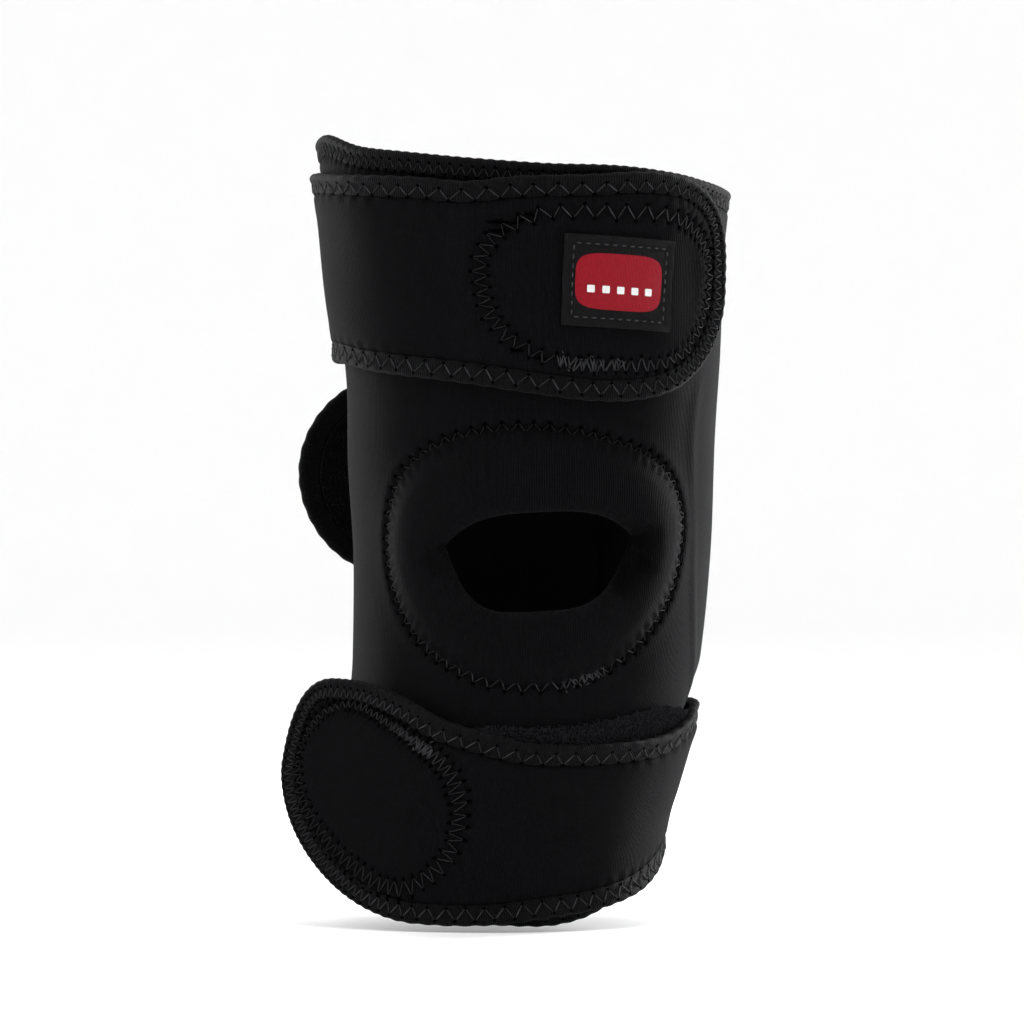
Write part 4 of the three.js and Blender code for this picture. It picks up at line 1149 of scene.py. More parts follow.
def sewn_face(path, depth, reach):
    """Height of a cloth's face, which a seam draws in along its path."""
    def lie(flat):
        distance, _ = nearest_on_path(flat.reshape(-1, 2), path)
        return (CLOTH / 2 - depth * np.exp(-(distance / reach) ** 2)).reshape(flat.shape[:-1])
    return lie


def oversewn(name, seam, size, low, high, width, pitch, place, lie, seed, painted_light_and_tone=1.0):
    """A part of a seam where the sewing starts and ends, gone over again in a tangle."""
    span = resample(seam_points(seam, *size, np.linspace(low, high, 60)), 80)
    inward = inward_directions(span, 1, upright_ends=False)
    holes, _ = zigzag_holes(span, inward, -width / 2, width / 2, pitch, seed, 0.55)
    random = np.random.default_rng(seed + 900)
    tangle = random.permutation(len(holes))[:len(holes) // 2]
    starts = np.concatenate([holes[:-1], holes[tangle]])
    ends = np.concatenate([holes[1:], holes[tangle] + random.uniform(-1.6, 1.6, (len(tangle), 2))])
    # Painted light on each stitch of the tangle, times a random tone.
    shown = painted_light_and_tone * random.uniform(0.45, 1.0, len(starts))
    return sew(name, starts, ends, place, lie, finish("thread"), sizes().thread_width / MM / 2, arch=0.3,
               painted_light_and_tone=shown)


def sleeve_rows(column, step):
    turns = np.linspace(SLEEVE_INNER_END, SLEEVE_OUTER_END, 600)
    rise = smooth_value(SLEEVE_EDGES, "turn", column, turns) * SLEEVE_HEIGHT
    path = np.stack([turn_to_length(turns), rise], -1)
    return resample(path, int(arc_lengths(path)[-1] / step))


def sleeve_relief(flat):
    """Relief of the sleeve's face away from its edges and the pad's seam."""
    x, y = flat[..., 0], flat[..., 1]
    ridge_at = turn_to_length(smooth_value(SLEEVE_RIDGE, "z", "turn", y))
    ridge = 0.6 * bump_shape(x, ridge_at, 2.5) * smoothstep(y, -60, -40) * (1 - smoothstep(y, 52, 66))
    return ridge + soft_waves(flat, 0.3)


def sleeve_cloth():
    """The sleeve's sheet, with rings of faces round the hole that the pad fills."""
    turns = np.concatenate([
        np.linspace(SLEEVE_INNER_END, -100, 38)[:-1],
        np.linspace(-100, 100, 240)[:-1],
        np.linspace(100, SLEEVE_OUTER_END, 38),
    ])
    lengths = turn_to_length(turns)
    edges = {}
    for column, sign in (("top", -1), ("bottom", 1)):
        rise = smooth_value(SLEEVE_EDGES, "turn", column, turns) * SLEEVE_HEIGHT
        path = np.stack([lengths, rise], -1)
        inward = inward_directions(path, -sign)
        edges[column] = [path + inward * inset for inset in CLOTH_INSETS]
    high, low = edges["top"][-1], edges["bottom"][-1]
    inner_rows = 110
    share = np.arange(1, inner_rows) / inner_rows
    rows = edges["top"] + [high + (low - high) * s for s in share] + edges["bottom"][::-1]
    flat = np.stack(rows)
    row_count, column_count = flat.shape[:2]
    centre = seam_points(PAD_SEAM, 0, 0, np.array([0.0]))[0]
    first_column = int(np.argmin(np.abs(lengths - (centre[0] - 74))))
    last_column = int(np.argmin(np.abs(lengths - (centre[0] + 74))))
    middle = flat[:, (first_column + last_column) // 2, 1]
    first_row = int(np.argmin(np.abs(middle - (centre[1] + 58))))
    last_row = int(np.argmin(np.abs(middle - (centre[1] - 58))))
    quads = grid_quads(column_count - 1, row_count - 1)
    cell_row, cell_column = np.divmod(np.arange(len(quads)), column_count - 1)
    window = (cell_row >= first_row) & (cell_row < last_row)
    window &= (cell_column >= first_column) & (cell_column < last_column)
    number = np.arange(row_count * column_count).reshape(row_count, column_count)
    border = np.concatenate([
        number[first_row, first_column:last_column],
        number[first_row:last_row, last_column],
        number[last_row, last_column:first_column:-1],
        number[last_row:first_row:-1, first_column],
    ])
    flat = flat.reshape(-1, 2)
    from_centre = flat[border] - centre
    degrees = np.degrees(np.arctan2(from_centre[:, 1] / PAD_SEAM_HEIGHT, from_centre[:, 0] / PAD_SEAM_LENGTH))
    hole = seam_points(PAD_SEAM, PAD_SEAM_LENGTH, PAD_SEAM_HEIGHT, degrees)
    ring_count = 26
    spokes = len(border)
    added = []
    for ring in range(1, ring_count + 1):
        share = 1 - (1 - ring / ring_count) ** 1.6
        added.append(flat[border] + (hole - flat[border]) * share)
    total = len(flat)
    rings = [border] + [total + k * spokes + np.arange(spokes) for k in range(ring_count)]
    ring_quads = [np.stack([rings[k], np.roll(rings[k], -1), np.roll(rings[k + 1], -1), rings[k + 1]], -1)
                  for k in range(ring_count)]
    flat = np.concatenate([flat] + added)
    quads = np.concatenate([quads[~window]] + ring_quads)
    used = np.unique(quads)
    renumber = np.full(len(flat), -1)
    renumber[used] = np.arange(len(used))
    outline = np.concatenate([number[0, :-1], number[:-1, -1], number[-1, :0:-1], number[:0:-1, 0]])
    rims = [renumber[outline], renumber[rings[-1][::-1]]]
    quads, flat = renumber[quads], flat[used]

    top, bottom = sleeve_rows("top", 0.8), sleeve_rows("bottom", 0.8)
    top_gap, top_along = nearest_on_path(flat, top)
    low_gap, low_along = nearest_on_path(flat, bottom)
    distance = np.minimum(top_gap, low_gap)
    top_phase, low_phase = (
        np.interp(place, arc_lengths(path), stitch_phase(arc_lengths(path), SLEEVE_SEWING[edge]["pitch"]))
        for edge, path, place in (("top", top, top_along), ("bottom", bottom, low_along)))
    half = bound_half(distance)
    in_front = 1 - smoothstep(np.abs(length_to_turn(flat[:, 0])), 92, 100)
    height = half + in_front * edge_puckers(distance, np.where(top_gap < low_gap, top_phase, low_phase))
    sewn, seam_gap = seam_relief(flat, PAD_SEAM, (PAD_SEAM_LENGTH, PAD_SEAM_HEIGHT), PAD_SEWING, 0.75, 1.5)
    height += sleeve_relief(flat) * smoothstep(distance, 8, 20) * smoothstep(seam_gap, 2, 14) + sewn
    # Painted shade in the groove beside the tapes and along the pad's seam.
    painted_shade = 1 - 0.8 * bump_shape(distance, 7.0, 0.55) - 0.6 * np.exp(-(seam_gap / 1.0) ** 2)
    outer, inner = on_sleeve(flat, height), on_sleeve(flat, -half)
    points, faces = shell(outer, inner, quads, rims)
    painted_shade = np.concatenate([np.clip(painted_shade, 0.05, 1), np.ones(len(flat))])
    cloth = add_piece("sleeve_cloth", points, facing_out(points, faces), finish("knit"), "sleeve_body",
                      np.concatenate([flat, flat]), painted_shade)
    return cloth


PAD_SECTION = {
    "inward": (0, 0.04, 0.1, 0.2, 0.34, 0.6, 0.8, 0.9, 0.96, 0.99, 1),
    "swell": (-0.2, 0.02, 0.22, 0.5, 0.8, 1, 0.86, 0.6, 0.28, -0.05, -0.38),
    "lift": (0, 0, 0, 0, 0, 0, 0, 0, 0.05, 0.12, 0.25),
}


def eye_creases():
    corners = eye_points(np.array([0.0, 180.0]))
    right, left = corners
    return [
        (right[0] + 2.2, right[1] + 4.0, right[0] + 1.0, right[1] - 13.0, 1.8, 4.0),
        (right[0] + 2.0, right[1] - 7.0, right[0] - 8.0, right[1] - 20.0, 1.7, 4.4),
        (left[0] - 3.8, left[1] - 3.0, left[0] + 1.0, left[1] - 11.5, 0.8, 2.2),
    ]


def patella_pad():
    spokes = 300
    rings = 46
    degrees = np.arange(spokes) * 360 / spokes
    seam = seam_points(PAD_SEAM, PAD_SEAM_LENGTH, PAD_SEAM_HEIGHT, degrees)
    eye = eye_points(degrees)
    share = np.linspace(0, 1, rings)
    inward = 0.5 - 0.5 * np.cos(np.pi * share)
    flat = seam[None] + (eye - seam)[None] * inward[:, None, None]
    swell = smooth_value(PAD_SECTION, "inward", "swell", inward)[:, None] + np.zeros((1, spokes))
    lift = smooth_value(PAD_SECTION, "inward", "lift", inward)[:, None] + np.zeros((1, spokes))
    outline, phase, _ = seam_sewing(PAD_SEAM, (PAD_SEAM_LENGTH, PAD_SEAM_HEIGHT), PAD_SEWING)
    flat_points = flat.reshape(-1, 2)
    seam_gap, seam_along = nearest_on_path(flat_points, outline)
    held = np.cos(np.pi / 2 * np.interp(seam_along, arc_lengths(outline), phase)) ** 2
    sunk = creases(flat_points, eye_creases())
    height = CLOTH + PAD_SWELL * swell.ravel() - sunk
    height += 0.6 * bump_shape(seam_gap, 2.0, 1.9) * (1 - 1.8 * held)
    height += soft_waves(flat_points, 0.25) * smoothstep(seam_gap, 2, 12)
    turn = length_to_turn(flat_points[:, 0])
    outer = on_leg(turn, flat_points[:, 1], height)
    inner = on_leg(turn, flat_points[:, 1], np.minimum(PAD_RIM * lift.ravel(), height - 0.4))
    ring = np.arange(spokes)
    quads = []
    for k in range(rings - 1):
        a = k * spokes + ring
        b = k * spokes + np.roll(ring, -1)
        quads.append(np.stack([a, b, b + spokes, a + spokes], -1))
    quads = np.concatenate(quads)
    rims = [ring, (rings - 1) * spokes + ring[::-1]]
    points, faces = shell(outer, inner, quads, rims)
    # Painted shade along the seam and in the hollows of the creases beside the eye.
    painted_shade = 1 - 0.7 * np.exp(-(seam_gap / 0.9) ** 2) - 0.6 * sunk
    painted_shade = np.concatenate([np.clip(painted_shade, 0.03, 1), np.ones(len(flat_points))])
    uv = np.concatenate([flat_points, flat_points])
    pad = add_piece("patella_pad_cloth", points, facing_out(points, faces), finish("knit"),
                    "patella_pad", uv, painted_shade)
    return pad


def grid_sheet(name, node, material, columns, rows, flat_at, place, thickness, relief=None):
    """A four-sided sheet: a flat grid, laid on its carrier by a wrap function and given its thickness."""
    bpy.ops.object.select_all(action="DESELECT")
    bpy.ops.mesh.primitive_grid_add(x_subdivisions=columns, y_subdivisions=rows, size=1, location=(0, 0, 0))
    sheet = bpy.context.object
    mesh = sheet.data
    shares = np.array([v.co[:2] for v in mesh.vertices]) + 0.5
    quads = np.array([list(polygon.vertices) for polygon in mesh.polygons])
    bpy.data.objects.remove(sheet)
    bpy.data.meshes.remove(mesh)
    flat = flat_at(shares[:, 0], shares[:, 1])
    wide = columns + 1
    rim = np.concatenate([
        np.arange(columns), np.arange(rows) * wide + columns,
        rows * wide + np.arange(columns, 0, -1), np.arange(rows, 0, -1) * wide,
    ])
    extra = relief(flat, shares) if relief else 0
    points, faces = shell(place(flat, thickness + extra), place(flat, 0 * flat[:, 0]), quads, [rim])
    uv = np.concatenate([flat, flat])
    return add_piece(name, points, facing_out(points, faces), material, node, uv, np.ones(len(points)))


def hook_patch(name, node, strap, seam, size):
    def flat_at(i, j):
        angle = 172 - (172 - 8) * i
        above = seam_points(seam, *size, angle)
        below = seam_points(seam, *size, 360 - angle)
        return below + (above - below) * j[:, None]

    def place(flat, out):
        turn = length_to_turn(flat[:, 0])
        return on_strap(strap, turn, flat[:, 1], strap_seat(strap, turn) - UNDER_STRAP - HOOK_CLOTH + out)

    piece = grid_sheet(name, node, finish("hook"), 60, 50, flat_at, place, HOOK_CLOTH)
    return piece


def label_frame():
    centre = np.array([turn_to_length(LABEL["turn"]), LABEL["rise"] * SLEEVE_HEIGHT])
    face = float(strap_seat(UPPER_STRAP, LABEL["turn"])) + CLOTH
    stretch = WRAP_RADIUS / (WRAP_RADIUS + face)
    tilt = math.radians(LABEL["tilt"])

    def flat_at(across, up):
        """Place on the flat cloth of a point of the label, in millimetres from its middle."""
        x = across * math.cos(tilt) - up * math.sin(tilt)
        y = across * math.sin(tilt) + up * math.cos(tilt)
        return np.stack([centre[0] + x * stretch, centre[1] + y], -1)

    def place(flat, out):
        return on_strap(UPPER_STRAP, length_to_turn(flat[..., 0]), flat[..., 1], face + GAP + out)

    return flat_at, place


def woven_patch(name, width, height, corner, middle, thickness, material):
    """A raised woven form on the label. The larger corner is, the sharper are its corners."""
    flat_at, place = label_frame()
    angles = np.radians(np.arange(0, 360, 6))
    reach = (np.abs(np.cos(angles)) ** corner + np.abs(np.sin(angles)) ** corner) ** (-1 / corner)
    rim = np.stack([np.cos(angles) * reach * width / 2, np.sin(angles) * reach * height / 2], -1)
    spokes, rings = len(angles), 10
    shares = np.linspace(1, 0.04, rings)
    flat = (rim[None] * shares[:, None, None]).reshape(-1, 2)
    crown = thickness * (1 - np.clip(shares, 0, 1) ** 14)
    height_at = np.repeat(crown, spokes)
    flat = flat + np.array(middle)
    on_cloth = flat_at(flat[:, 0], flat[:, 1])
    outer = place(on_cloth, LABEL_CLOTH + 0.02 + height_at)
    inner = place(on_cloth, LABEL_CLOTH - 0.15 + 0 * height_at)
    ring = np.arange(spokes)
    quads = np.concatenate([
        np.stack([k * spokes + ring, k * spokes + np.roll(ring, -1), (k + 1) * spokes + np.roll(ring, -1),
                  (k + 1) * spokes + ring], -1) for k in range(rings - 1)])
    points, faces = shell(outer, inner, quads, [ring])
    faces = [list(map(int, face)) for face in facing_out(points, faces)]
    shift = rings * spokes
    inner_ring = (rings - 1) * spokes + ring
    cap = list(map(int, inner_ring))
    flipped = not np.array_equal(np.array(faces[0]), quads[0])
    faces.append(cap if not flipped else cap[::-1])
    faces.append([v + shift for v in (cap[::-1] if not flipped else cap)])
    uv = np.concatenate([flat, flat])
    return add_piece(name, points, faces, material, None, uv, np.ones(len(points)), 60)


# Operators

class StageOperator(bpy.types.Operator):
    """Set up the floor, the lights and the camera."""
    bl_idname = "knee_sleeve.stage"
    bl_label = "Stage"

    def execute(self, context):
        scene = context.scene
        floor_height = cad_box[0][2] - 0.0015
        bpy.ops.object.select_all(action="DESELECT")
        bpy.ops.mesh.primitive_circle_add(vertices=96, radius=FLOOR_RADIUS, fill_type="NGON",
                                          location=(0, 0, floor_height))
        floor = context.object
        floor.name = "floor"
        bpy.ops.object.transform_apply(location=True, rotation=False, scale=False)
        bpy.ops.object.mode_set(mode="EDIT")
        bpy.ops.mesh.select_all(action="SELECT")
        bpy.ops.mesh.inset(thickness=0.5)
        bpy.ops.mesh.select_all(action="DESELECT")
        bpy.ops.object.mode_set(mode="OBJECT")
        steps = 12
        rise = [(FLOOR_RADIUS + WALL_BEND * math.sin(math.radians(90 * k / steps)),
                 WALL_BEND - WALL_BEND * math.cos(math.radians(90 * k / steps))) for k in range(1, steps + 1)]
        rise.append((FLOOR_RADIUS + WALL_BEND, WALL_HEIGHT))
        for edge in floor.data.edges:
            edge.select = all(Vector(floor.data.vertices[v].co[:2]).length > FLOOR_RADIUS - 0.01
                              for v in edge.vertices)
        bpy.ops.object.mode_set(mode="EDIT")
        bpy.ops.mesh.select_mode(type="EDGE")
        before_r, before_z = FLOOR_RADIUS, 0.0
        for reach, up in rise:
            bpy.ops.mesh.extrude_edges_move(TRANSFORM_OT_translate={"value": (0, 0, up - before_z)})
            scale = reach / before_r
            bpy.ops.transform.resize(value=(scale, scale, 1), center_override=(0, 0, floor_height + up))
            before_r, before_z = reach, up
        bpy.ops.object.mode_set(mode="OBJECT")
        bpy.ops.object.shade_smooth_by_angle(angle=math.radians(60))
        floor.data.materials.append(plain_material("Pale floor", colours().floor, 0.85))

        world = bpy.data.worlds.new("Studio")
        world.use_nodes = True
        world.node_tree.nodes["Background"].inputs["Color"].default_value = (1, 1, 1, 1)
        world.node_tree.nodes["Background"].inputs["Strength"].default_value = WORLD_STRENGTH
        scene.world = world
        scene.view_settings.view_transform = "Standard"
        for box in SOFTBOXES:
            data = bpy.data.lights.new(box["name"], "AREA")
            data.shape = "RECTANGLE"
            data.size, data.size_y = box["size"]
            data.energy = box["power"]
            light = bpy.data.objects.new(box["name"], data)
            light.location = box["place"]
            light.rotation_euler = (Vector((0, 0, 0)) - Vector(box["place"])).to_track_quat("-Z", "Y").to_euler()
            scene.collection.objects.link(light)

        camera_data = bpy.data.cameras.new("camera")
        camera_data.lens = CAMERA_LENS
        camera_data.sensor_width = CAMERA_SENSOR
        camera = bpy.data.objects.new("camera", camera_data)
        camera.location = CAMERA_PLACE
        camera.rotation_euler = (math.radians(90), 0, 0)
        scene.collection.objects.link(camera)
        scene.camera = camera
        return {"FINISHED"}


class SleeveOperator(bpy.types.Operator):
    """Make the sleeve's cloth with its two bound and sewn edges."""
    bl_idname = "knee_sleeve.sleeve"
    bl_label = "Sleeve"

    def execute(self, context):
        cloth = sleeve_cloth()
        parts = []
        for edge, sewing in SLEEVE_SEWING.items():
            path = sleeve_rows(edge, 0.8)
            side, pitch = sewing["side"], sewing["pitch"]
            parts.append(folded_tape(f"sleeve_{edge}_tape", f"sleeve_{edge}_binding", path, side, on_sleeve,
                                     pitch))
            parts += edge_stitches(f"sleeve_{edge}_stitches", path, side, on_sleeve, pitch, sewing["near"],
                                   sewing["far"], sewing["seed"], sewing["painted_light_and_tone"])
        end = turn_to_length(SLEEVE_OUTER_END) - 3.0
        pitch = sizes().stitch_pitch / MM
        tops = [smooth_value(SLEEVE_EDGES, "turn", column, SLEEVE_OUTER_END) * SLEEVE_HEIGHT
                for column in ("top", "bottom")]
        path = resample(np.array([[end, tops[0] - 8.0], [end, tops[1] + 8.0]]), 300)
        inward = inward_directions(path, 1, upright_ends=False)
        holes, _ = zigzag_holes(path, inward, -1.9, 1.9, pitch, 13)

        def face(flat):
            return CLOTH / 2 + 0.03 + 0 * flat[..., 0]

        # Painted light on the end stitches, times a random tone.
        parts.append(sew("sleeve_end_stitches", holes[:-1], holes[1:], on_sleeve, face, finish("thread"),
                         sizes().thread_width / MM / 2, painted_light_and_tone=0.8 * painted_stitch_light_and_tone(len(holes) - 1, 13)))
        # Dark lenses of painted shade at the needle holes.
        parts.append(painted_hole_shade("sleeve_end_hole_shade", holes, np.broadcast_to(inward[0], holes.shape), on_sleeve,
                                  face, *TAPE_HOLE))
        turn_to_length(SLEEVE_OUTER_END - SLEEVE_INNER_END) * MM
        return {"FINISHED"}


class PadOperator(bpy.types.Operator):
    """Make the puffed pad and the zigzag seam that holds it."""
    bl_idname = "knee_sleeve.pad"
    bl_label = "Patella pad"

    def execute(self, context):
        patella_pad()
        size = (PAD_SEAM_LENGTH, PAD_SEAM_HEIGHT)
        lie = sewn_face(seam_path(PAD_SEAM, size), 0.6, 1.5)
        seam_stitches("pad_seam_stitches", PAD_SEAM, size, PAD_SEWING, on_sleeve, lie, 21, 0.18, PAD_HOLE)
        oversewn("pad_seam_end", PAD_SEAM, size, 283, 297, 4.0, 1.6, on_sleeve, lie, 22)
        return {"FINISHED"}


def strap_set(prefix, strap, relief, edge, seed, end_painted_light=0.5):
    step = sizes().mesh_step / MM
    cloth = bound_cloth(f"{prefix}_cloth", prefix, strap, step, relief)
    path = strap_path(strap, 0.8)
    place = strap_placer(strap)
    side = strap_side(strap)
    tip_at = strap_tip_at(strap, path)
    local_pitch, first = edge_pitch(path, tip_at, edge)
    tape = folded_tape(f"{prefix}_tape", f"{prefix}_binding", path, side, place, local_pitch)
    # The strap's first edge is its upper one, where the zigzag stands farther in
    near, far = 1.7 + 1.2 * first, 5.9 + 0.7 * first
    # Painted light on the edge stitches: they are painted dimmer near the tip, by the value given for the tip.
    painted_light_and_tone = np.interp(np.abs(arc_lengths(path) - tip_at), (0, 45, 70), (end_painted_light, end_painted_light, 1))
    stitches = edge_stitches(f"{prefix}_stitches", path, side, place, local_pitch, near, far, seed, painted_light_and_tone)
    return cloth


class UpperStrapOperator(bpy.types.Operator):
    """Make the upper pull strap, its tape, its hook patch and the seam round the patch."""
    bl_idname = "knee_sleeve.upper_strap"
    bl_label = "Upper strap"

    def execute(self, context):
        pleats = [(*ends, 0.9, 0.8) for ends in UPPER_PLEATS]
        relief = strap_relief(UPPER_STRAP, UPPER_EDGE, lines=pleats,
                              seams=[(UPPER_HOOK_SEAM, UPPER_HOOK, UPPER_SEWING, 0.6, 2.0)])
        strap_set("upper_strap", UPPER_STRAP, relief, UPPER_EDGE, 31)
        place = strap_placer(UPPER_STRAP)
        lie = sewn_face(seam_path(UPPER_HOOK_SEAM, UPPER_HOOK), 0.45, 2.0)
        seam_stitches("upper_patch_stitches", UPPER_HOOK_SEAM, UPPER_HOOK, UPPER_SEWING, place, lie, 32)
        oversewn("upper_patch_end", UPPER_HOOK_SEAM, UPPER_HOOK, 244, 274, 4.6, 2.2, place, lie, 33)
        rows = np.array(UPPER_PLEATS)
        run = rows[:, 2:] - rows[:, :2]
        # Dark lenses of painted shade in the pleats.
        painted_hole_shade("upper_patch_pleat_shade", (rows[:, :2] + rows[:, 2:]) / 2, run, place, lie,
                     np.linalg.norm(run, axis=1), 0.75)
        hook_patch("upper_hook_cloth", "upper_hook_patch", UPPER_STRAP, UPPER_HOOK_SEAM, UPPER_HOOK)
        return {"FINISHED"}


class LowerStrapOperator(bpy.types.Operator):
    """Make the lower pull strap, its tape, its hook patch and the seam round the patch, sewn over again along two
    stretches.
    """
    bl_idname = "knee_sleeve.lower_strap"
    bl_label = "Lower strap"

    def execute(self, context):
        relief = strap_relief(LOWER_STRAP, LOWER_EDGE,
                              seams=[(LOWER_HOOK_SEAM, LOWER_HOOK, LOWER_SEWING, 0.6, 2.2)])
        strap_set("lower_strap", LOWER_STRAP, relief, LOWER_EDGE, 41)
        place = strap_placer(LOWER_STRAP)
        lie = sewn_face(seam_path(LOWER_HOOK_SEAM, LOWER_HOOK), 0.45, 2.0)
        seam_stitches("lower_patch_stitches", LOWER_HOOK_SEAM, LOWER_HOOK, LOWER_SEWING, place, lie, 42,
                      hole=LOWER_PATCH_HOLE)
        oversewn("lower_patch_end", LOWER_HOOK_SEAM, LOWER_HOOK, 40, 56, 4.6, 1.5, place, lie, 43)
        oversewn("lower_patch_top", LOWER_HOOK_SEAM, LOWER_HOOK, 56, 84, 3.2, 2.6, place, lie, 44, 0.6)
        hook_patch("lower_hook_cloth", "lower_hook_patch", LOWER_STRAP, LOWER_HOOK_SEAM, LOWER_HOOK)
        return {"FINISHED"}


class BackTabOperator(bpy.types.Operator):
    """Make the closing tab behind the left side, with its hook face."""
    bl_idname = "knee_sleeve.back_tab"
    bl_label = "Back tab"

    def execute(self, context):
        strap_set("back_tab", BACK_TAB, strap_relief(BACK_TAB, TAB_EDGE), TAB_EDGE,
                  51, end_painted_light=1.0)
        reach = float(turn_to_length(abs(BACK_TAB["tip"] - BACK_TAB["root"])))
        margin = TAPE_WIDTH + GAP

        def flat_at(i, j):
            across = (j - 0.5) * (TAB_WIDTH - 2 * margin)
            radius = TAB_WIDTH / 2
            room = np.sqrt((radius - margin) ** 2 - across ** 2 + 1e-6)
            end = reach - radius + np.maximum(room, margin)
            along = TAB_HOOK_START + (end - TAB_HOOK_START) * i
            return np.stack([turn_to_length(BACK_TAB["root"]) + along,
                             BACK_TAB["sections"]["middle"][0] * SLEEVE_HEIGHT + across], -1)

        def place(flat, out):
            seat = BACK_TAB["seat"] - UNDER_STRAP - HOOK_CLOTH
            return on_strap(BACK_TAB, length_to_turn(flat[:, 0]), flat[:, 1], seat + out)

        piece = grid_sheet("back_tab_hook_cloth", "back_tab_hook", finish("hook"), 50, 60, flat_at, place,
                           HOOK_CLOTH)
        return {"FINISHED"}


class LabelOperator(bpy.types.Operator):
    """Make the label with its stitched border, block and squares."""
    bl_idname = "knee_sleeve.label"
    bl_label = "Label"

    def execute(self, context):
        flat_at, place = label_frame()

        def on_grid(i, j):
            return flat_at((i - 0.5) * LABEL_WIDTH, (j - 0.5) * LABEL_HEIGHT)

        def hem(flat, shares):
            from_edge = np.minimum.reduce([
                shares[:, 0] * LABEL_WIDTH, (1 - shares[:, 0]) * LABEL_WIDTH,
                shares[:, 1] * LABEL_HEIGHT, (1 - shares[:, 1]) * LABEL_HEIGHT])
            return 0.22 * np.exp(-(from_edge / 1.6) ** 2) - 0.25 * np.exp(-((from_edge - LABEL_HEM) / 0.6) ** 2)

        label = grid_sheet("label_cloth", "label", finish("label"), 74, 60, on_grid, place, LABEL_CLOTH,
                           hem)
        corners = np.array([(-1, 1), (1, 1), (1, -1), (-1, -1), (-1, 1)], float)
        corners *= np.array([LABEL_WIDTH / 2 - LABEL_HEM, LABEL_HEIGHT / 2 - LABEL_HEM])
        starts, ends = [], []
        for a, b in zip(corners[:-1], corners[1:]):
            count = int(np.linalg.norm(b - a) / LABEL_STITCH)
            for k in range(count):
                starts.append(a + (b - a) * (k + 0.18) / count)
                ends.append(a + (b - a) * (k + 0.82) / count)
        starts, ends = np.array(starts), np.array(ends)
        starts, ends = flat_at(starts[:, 0], starts[:, 1]), flat_at(ends[:, 0], ends[:, 1])
        border = sew("label_stitches", starts, ends, place, lambda flat: LABEL_CLOTH - 0.2 + 0 * flat[..., 0],
                     finish("thread"), 0.26, sink=0.35, arch=0.08)

        parts = [border, woven_patch("label_block", BLOCK["width"], BLOCK["height"], BLOCK["roundness"],
                                     BLOCK["middle"], BLOCK["thick"], finish("block"))]
        for k in range(SQUARES["count"]):
            middle = (SQUARES["first"] + SQUARES["pitch"] * k, SQUARES["rise"])
            parts.append(woven_patch(f"label_square_{k + 1}", SQUARES["size"], SQUARES["size"],
                                     SQUARES["roundness"], middle, SQUARES["thick"], finish("squares")))
        return {"FINISHED"}


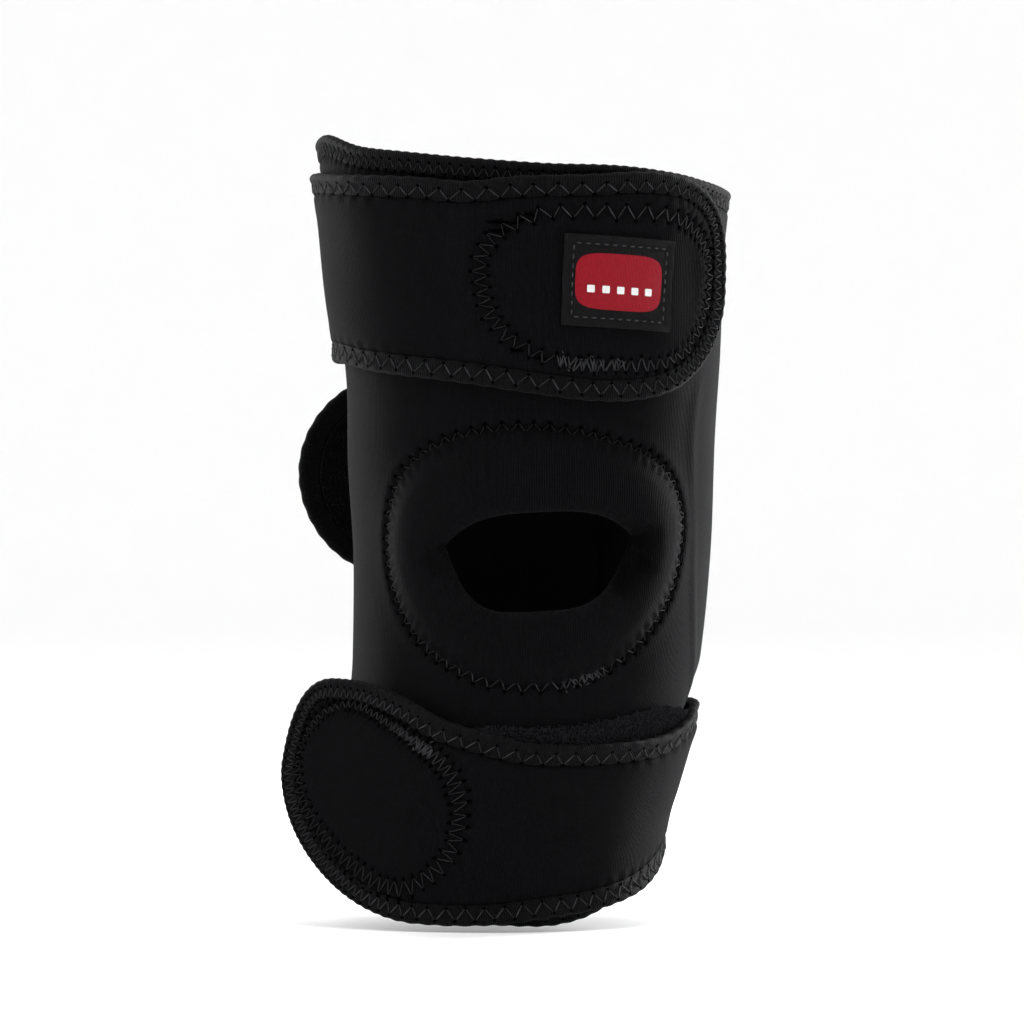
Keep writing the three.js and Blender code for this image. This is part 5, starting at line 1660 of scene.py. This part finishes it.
class LoopStripOperator(bpy.types.Operator):
    """Make the strip of loop pile that the lower strap closes on."""
    bl_idname = "knee_sleeve.loop_strip"
    bl_label = "Loop strip"

    def execute(self, context):
        def flat_at(i, j):
            turn = LOOP_STRIP["from"] + (LOOP_STRIP["to"] - LOOP_STRIP["from"]) * i
            top = smooth_value(LOOP_STRIP, "turn", "top", turn) * SLEEVE_HEIGHT
            bottom = smooth_value(LOOP_STRIP, "turn", "bottom", turn) * SLEEVE_HEIGHT
            return np.stack([turn_to_length(turn), bottom + (top - bottom) * j], -1)

        def place(flat, out):
            return on_leg(length_to_turn(flat[..., 0]), flat[..., 1], CLOTH + GAP + out)

        def rough(flat, shares):
            return np.random.default_rng(61).normal(0, 0.12, len(flat)) - 0.15

        strip = grid_sheet("loop_strip_cloth", "loop_patch", finish("pile"), 120, 36, flat_at, place,
                           LOOP_CLOTH, rough)
        random = np.random.default_rng(62)
        count = 1600
        turn = random.uniform(LOOP_STRIP["from"] + 1, LOOP_STRIP["to"] - 1, count)
        top = smooth_value(LOOP_STRIP, "turn", "top", turn) * SLEEVE_HEIGHT
        low = strap_edge_height(LOWER_STRAP, turn, 0.5) - 1.5
        rise = top + 0.7 - random.uniform(0, 1, count) * np.maximum(top - low, 2)
        kept = rise > low
        starts = np.stack([turn_to_length(turn), rise], -1)[kept]
        heading = random.uniform(0, 2 * np.pi, len(starts))
        reach = random.uniform(0.5, 1.3, len(starts))[:, None]
        ends = starts + np.stack([np.cos(heading), np.sin(heading)], -1) * reach
        loops = sew("loop_strip_pile", starts, ends, place, lambda flat: LOOP_CLOTH - 0.25 + 0 * flat[..., 0],
                    finish("pile tufts"), 0.17, sink=0.3, arch=0.85,
                    painted_light_and_tone=random.uniform(0.2, 1.0, len(starts)))
        return {"FINISHED"}


class KneeSleevePanel(bpy.types.Panel):
    """Buttons for each step of the knee sleeve."""
    bl_idname = "VIEW3D_PT_knee_sleeve"
    bl_label = "Knee sleeve"
    bl_space_type = "VIEW_3D"
    bl_region_type = "UI"
    bl_category = "Knee sleeve"

    def draw(self, context):
        for group in (context.scene.knee_sleeve_sizes, context.scene.knee_sleeve_colours):
            for name in group.__annotations__:
                self.layout.prop(group, name)
        for operator in OPERATORS:
            self.layout.operator(operator.bl_idname)


OPERATORS = (StageOperator, SleeveOperator, PadOperator, UpperStrapOperator, LowerStrapOperator, BackTabOperator,
             LabelOperator, LoopStripOperator)
CLASSES = (KneeSleeveSizes, KneeSleeveColours, *OPERATORS, KneeSleevePanel)


def register():
    for item in CLASSES:
        bpy.utils.register_class(item)
    bpy.types.Scene.knee_sleeve_sizes = bpy.props.PointerProperty(type=KneeSleeveSizes)
    bpy.types.Scene.knee_sleeve_colours = bpy.props.PointerProperty(type=KneeSleeveColours)


def unregister():
    del bpy.types.Scene.knee_sleeve_colours
    del bpy.types.Scene.knee_sleeve_sizes
    for item in reversed(CLASSES):
        bpy.utils.unregister_class(item)


def main():
    register()
    bpy.ops.knee_sleeve.stage()
    bpy.ops.knee_sleeve.sleeve()
    bpy.ops.knee_sleeve.pad()
    bpy.ops.knee_sleeve.upper_strap()
    bpy.ops.knee_sleeve.lower_strap()
    bpy.ops.knee_sleeve.back_tab()
    bpy.ops.knee_sleeve.label()
    bpy.ops.knee_sleeve.loop_strip()


if __name__ == "__main__":
    main()
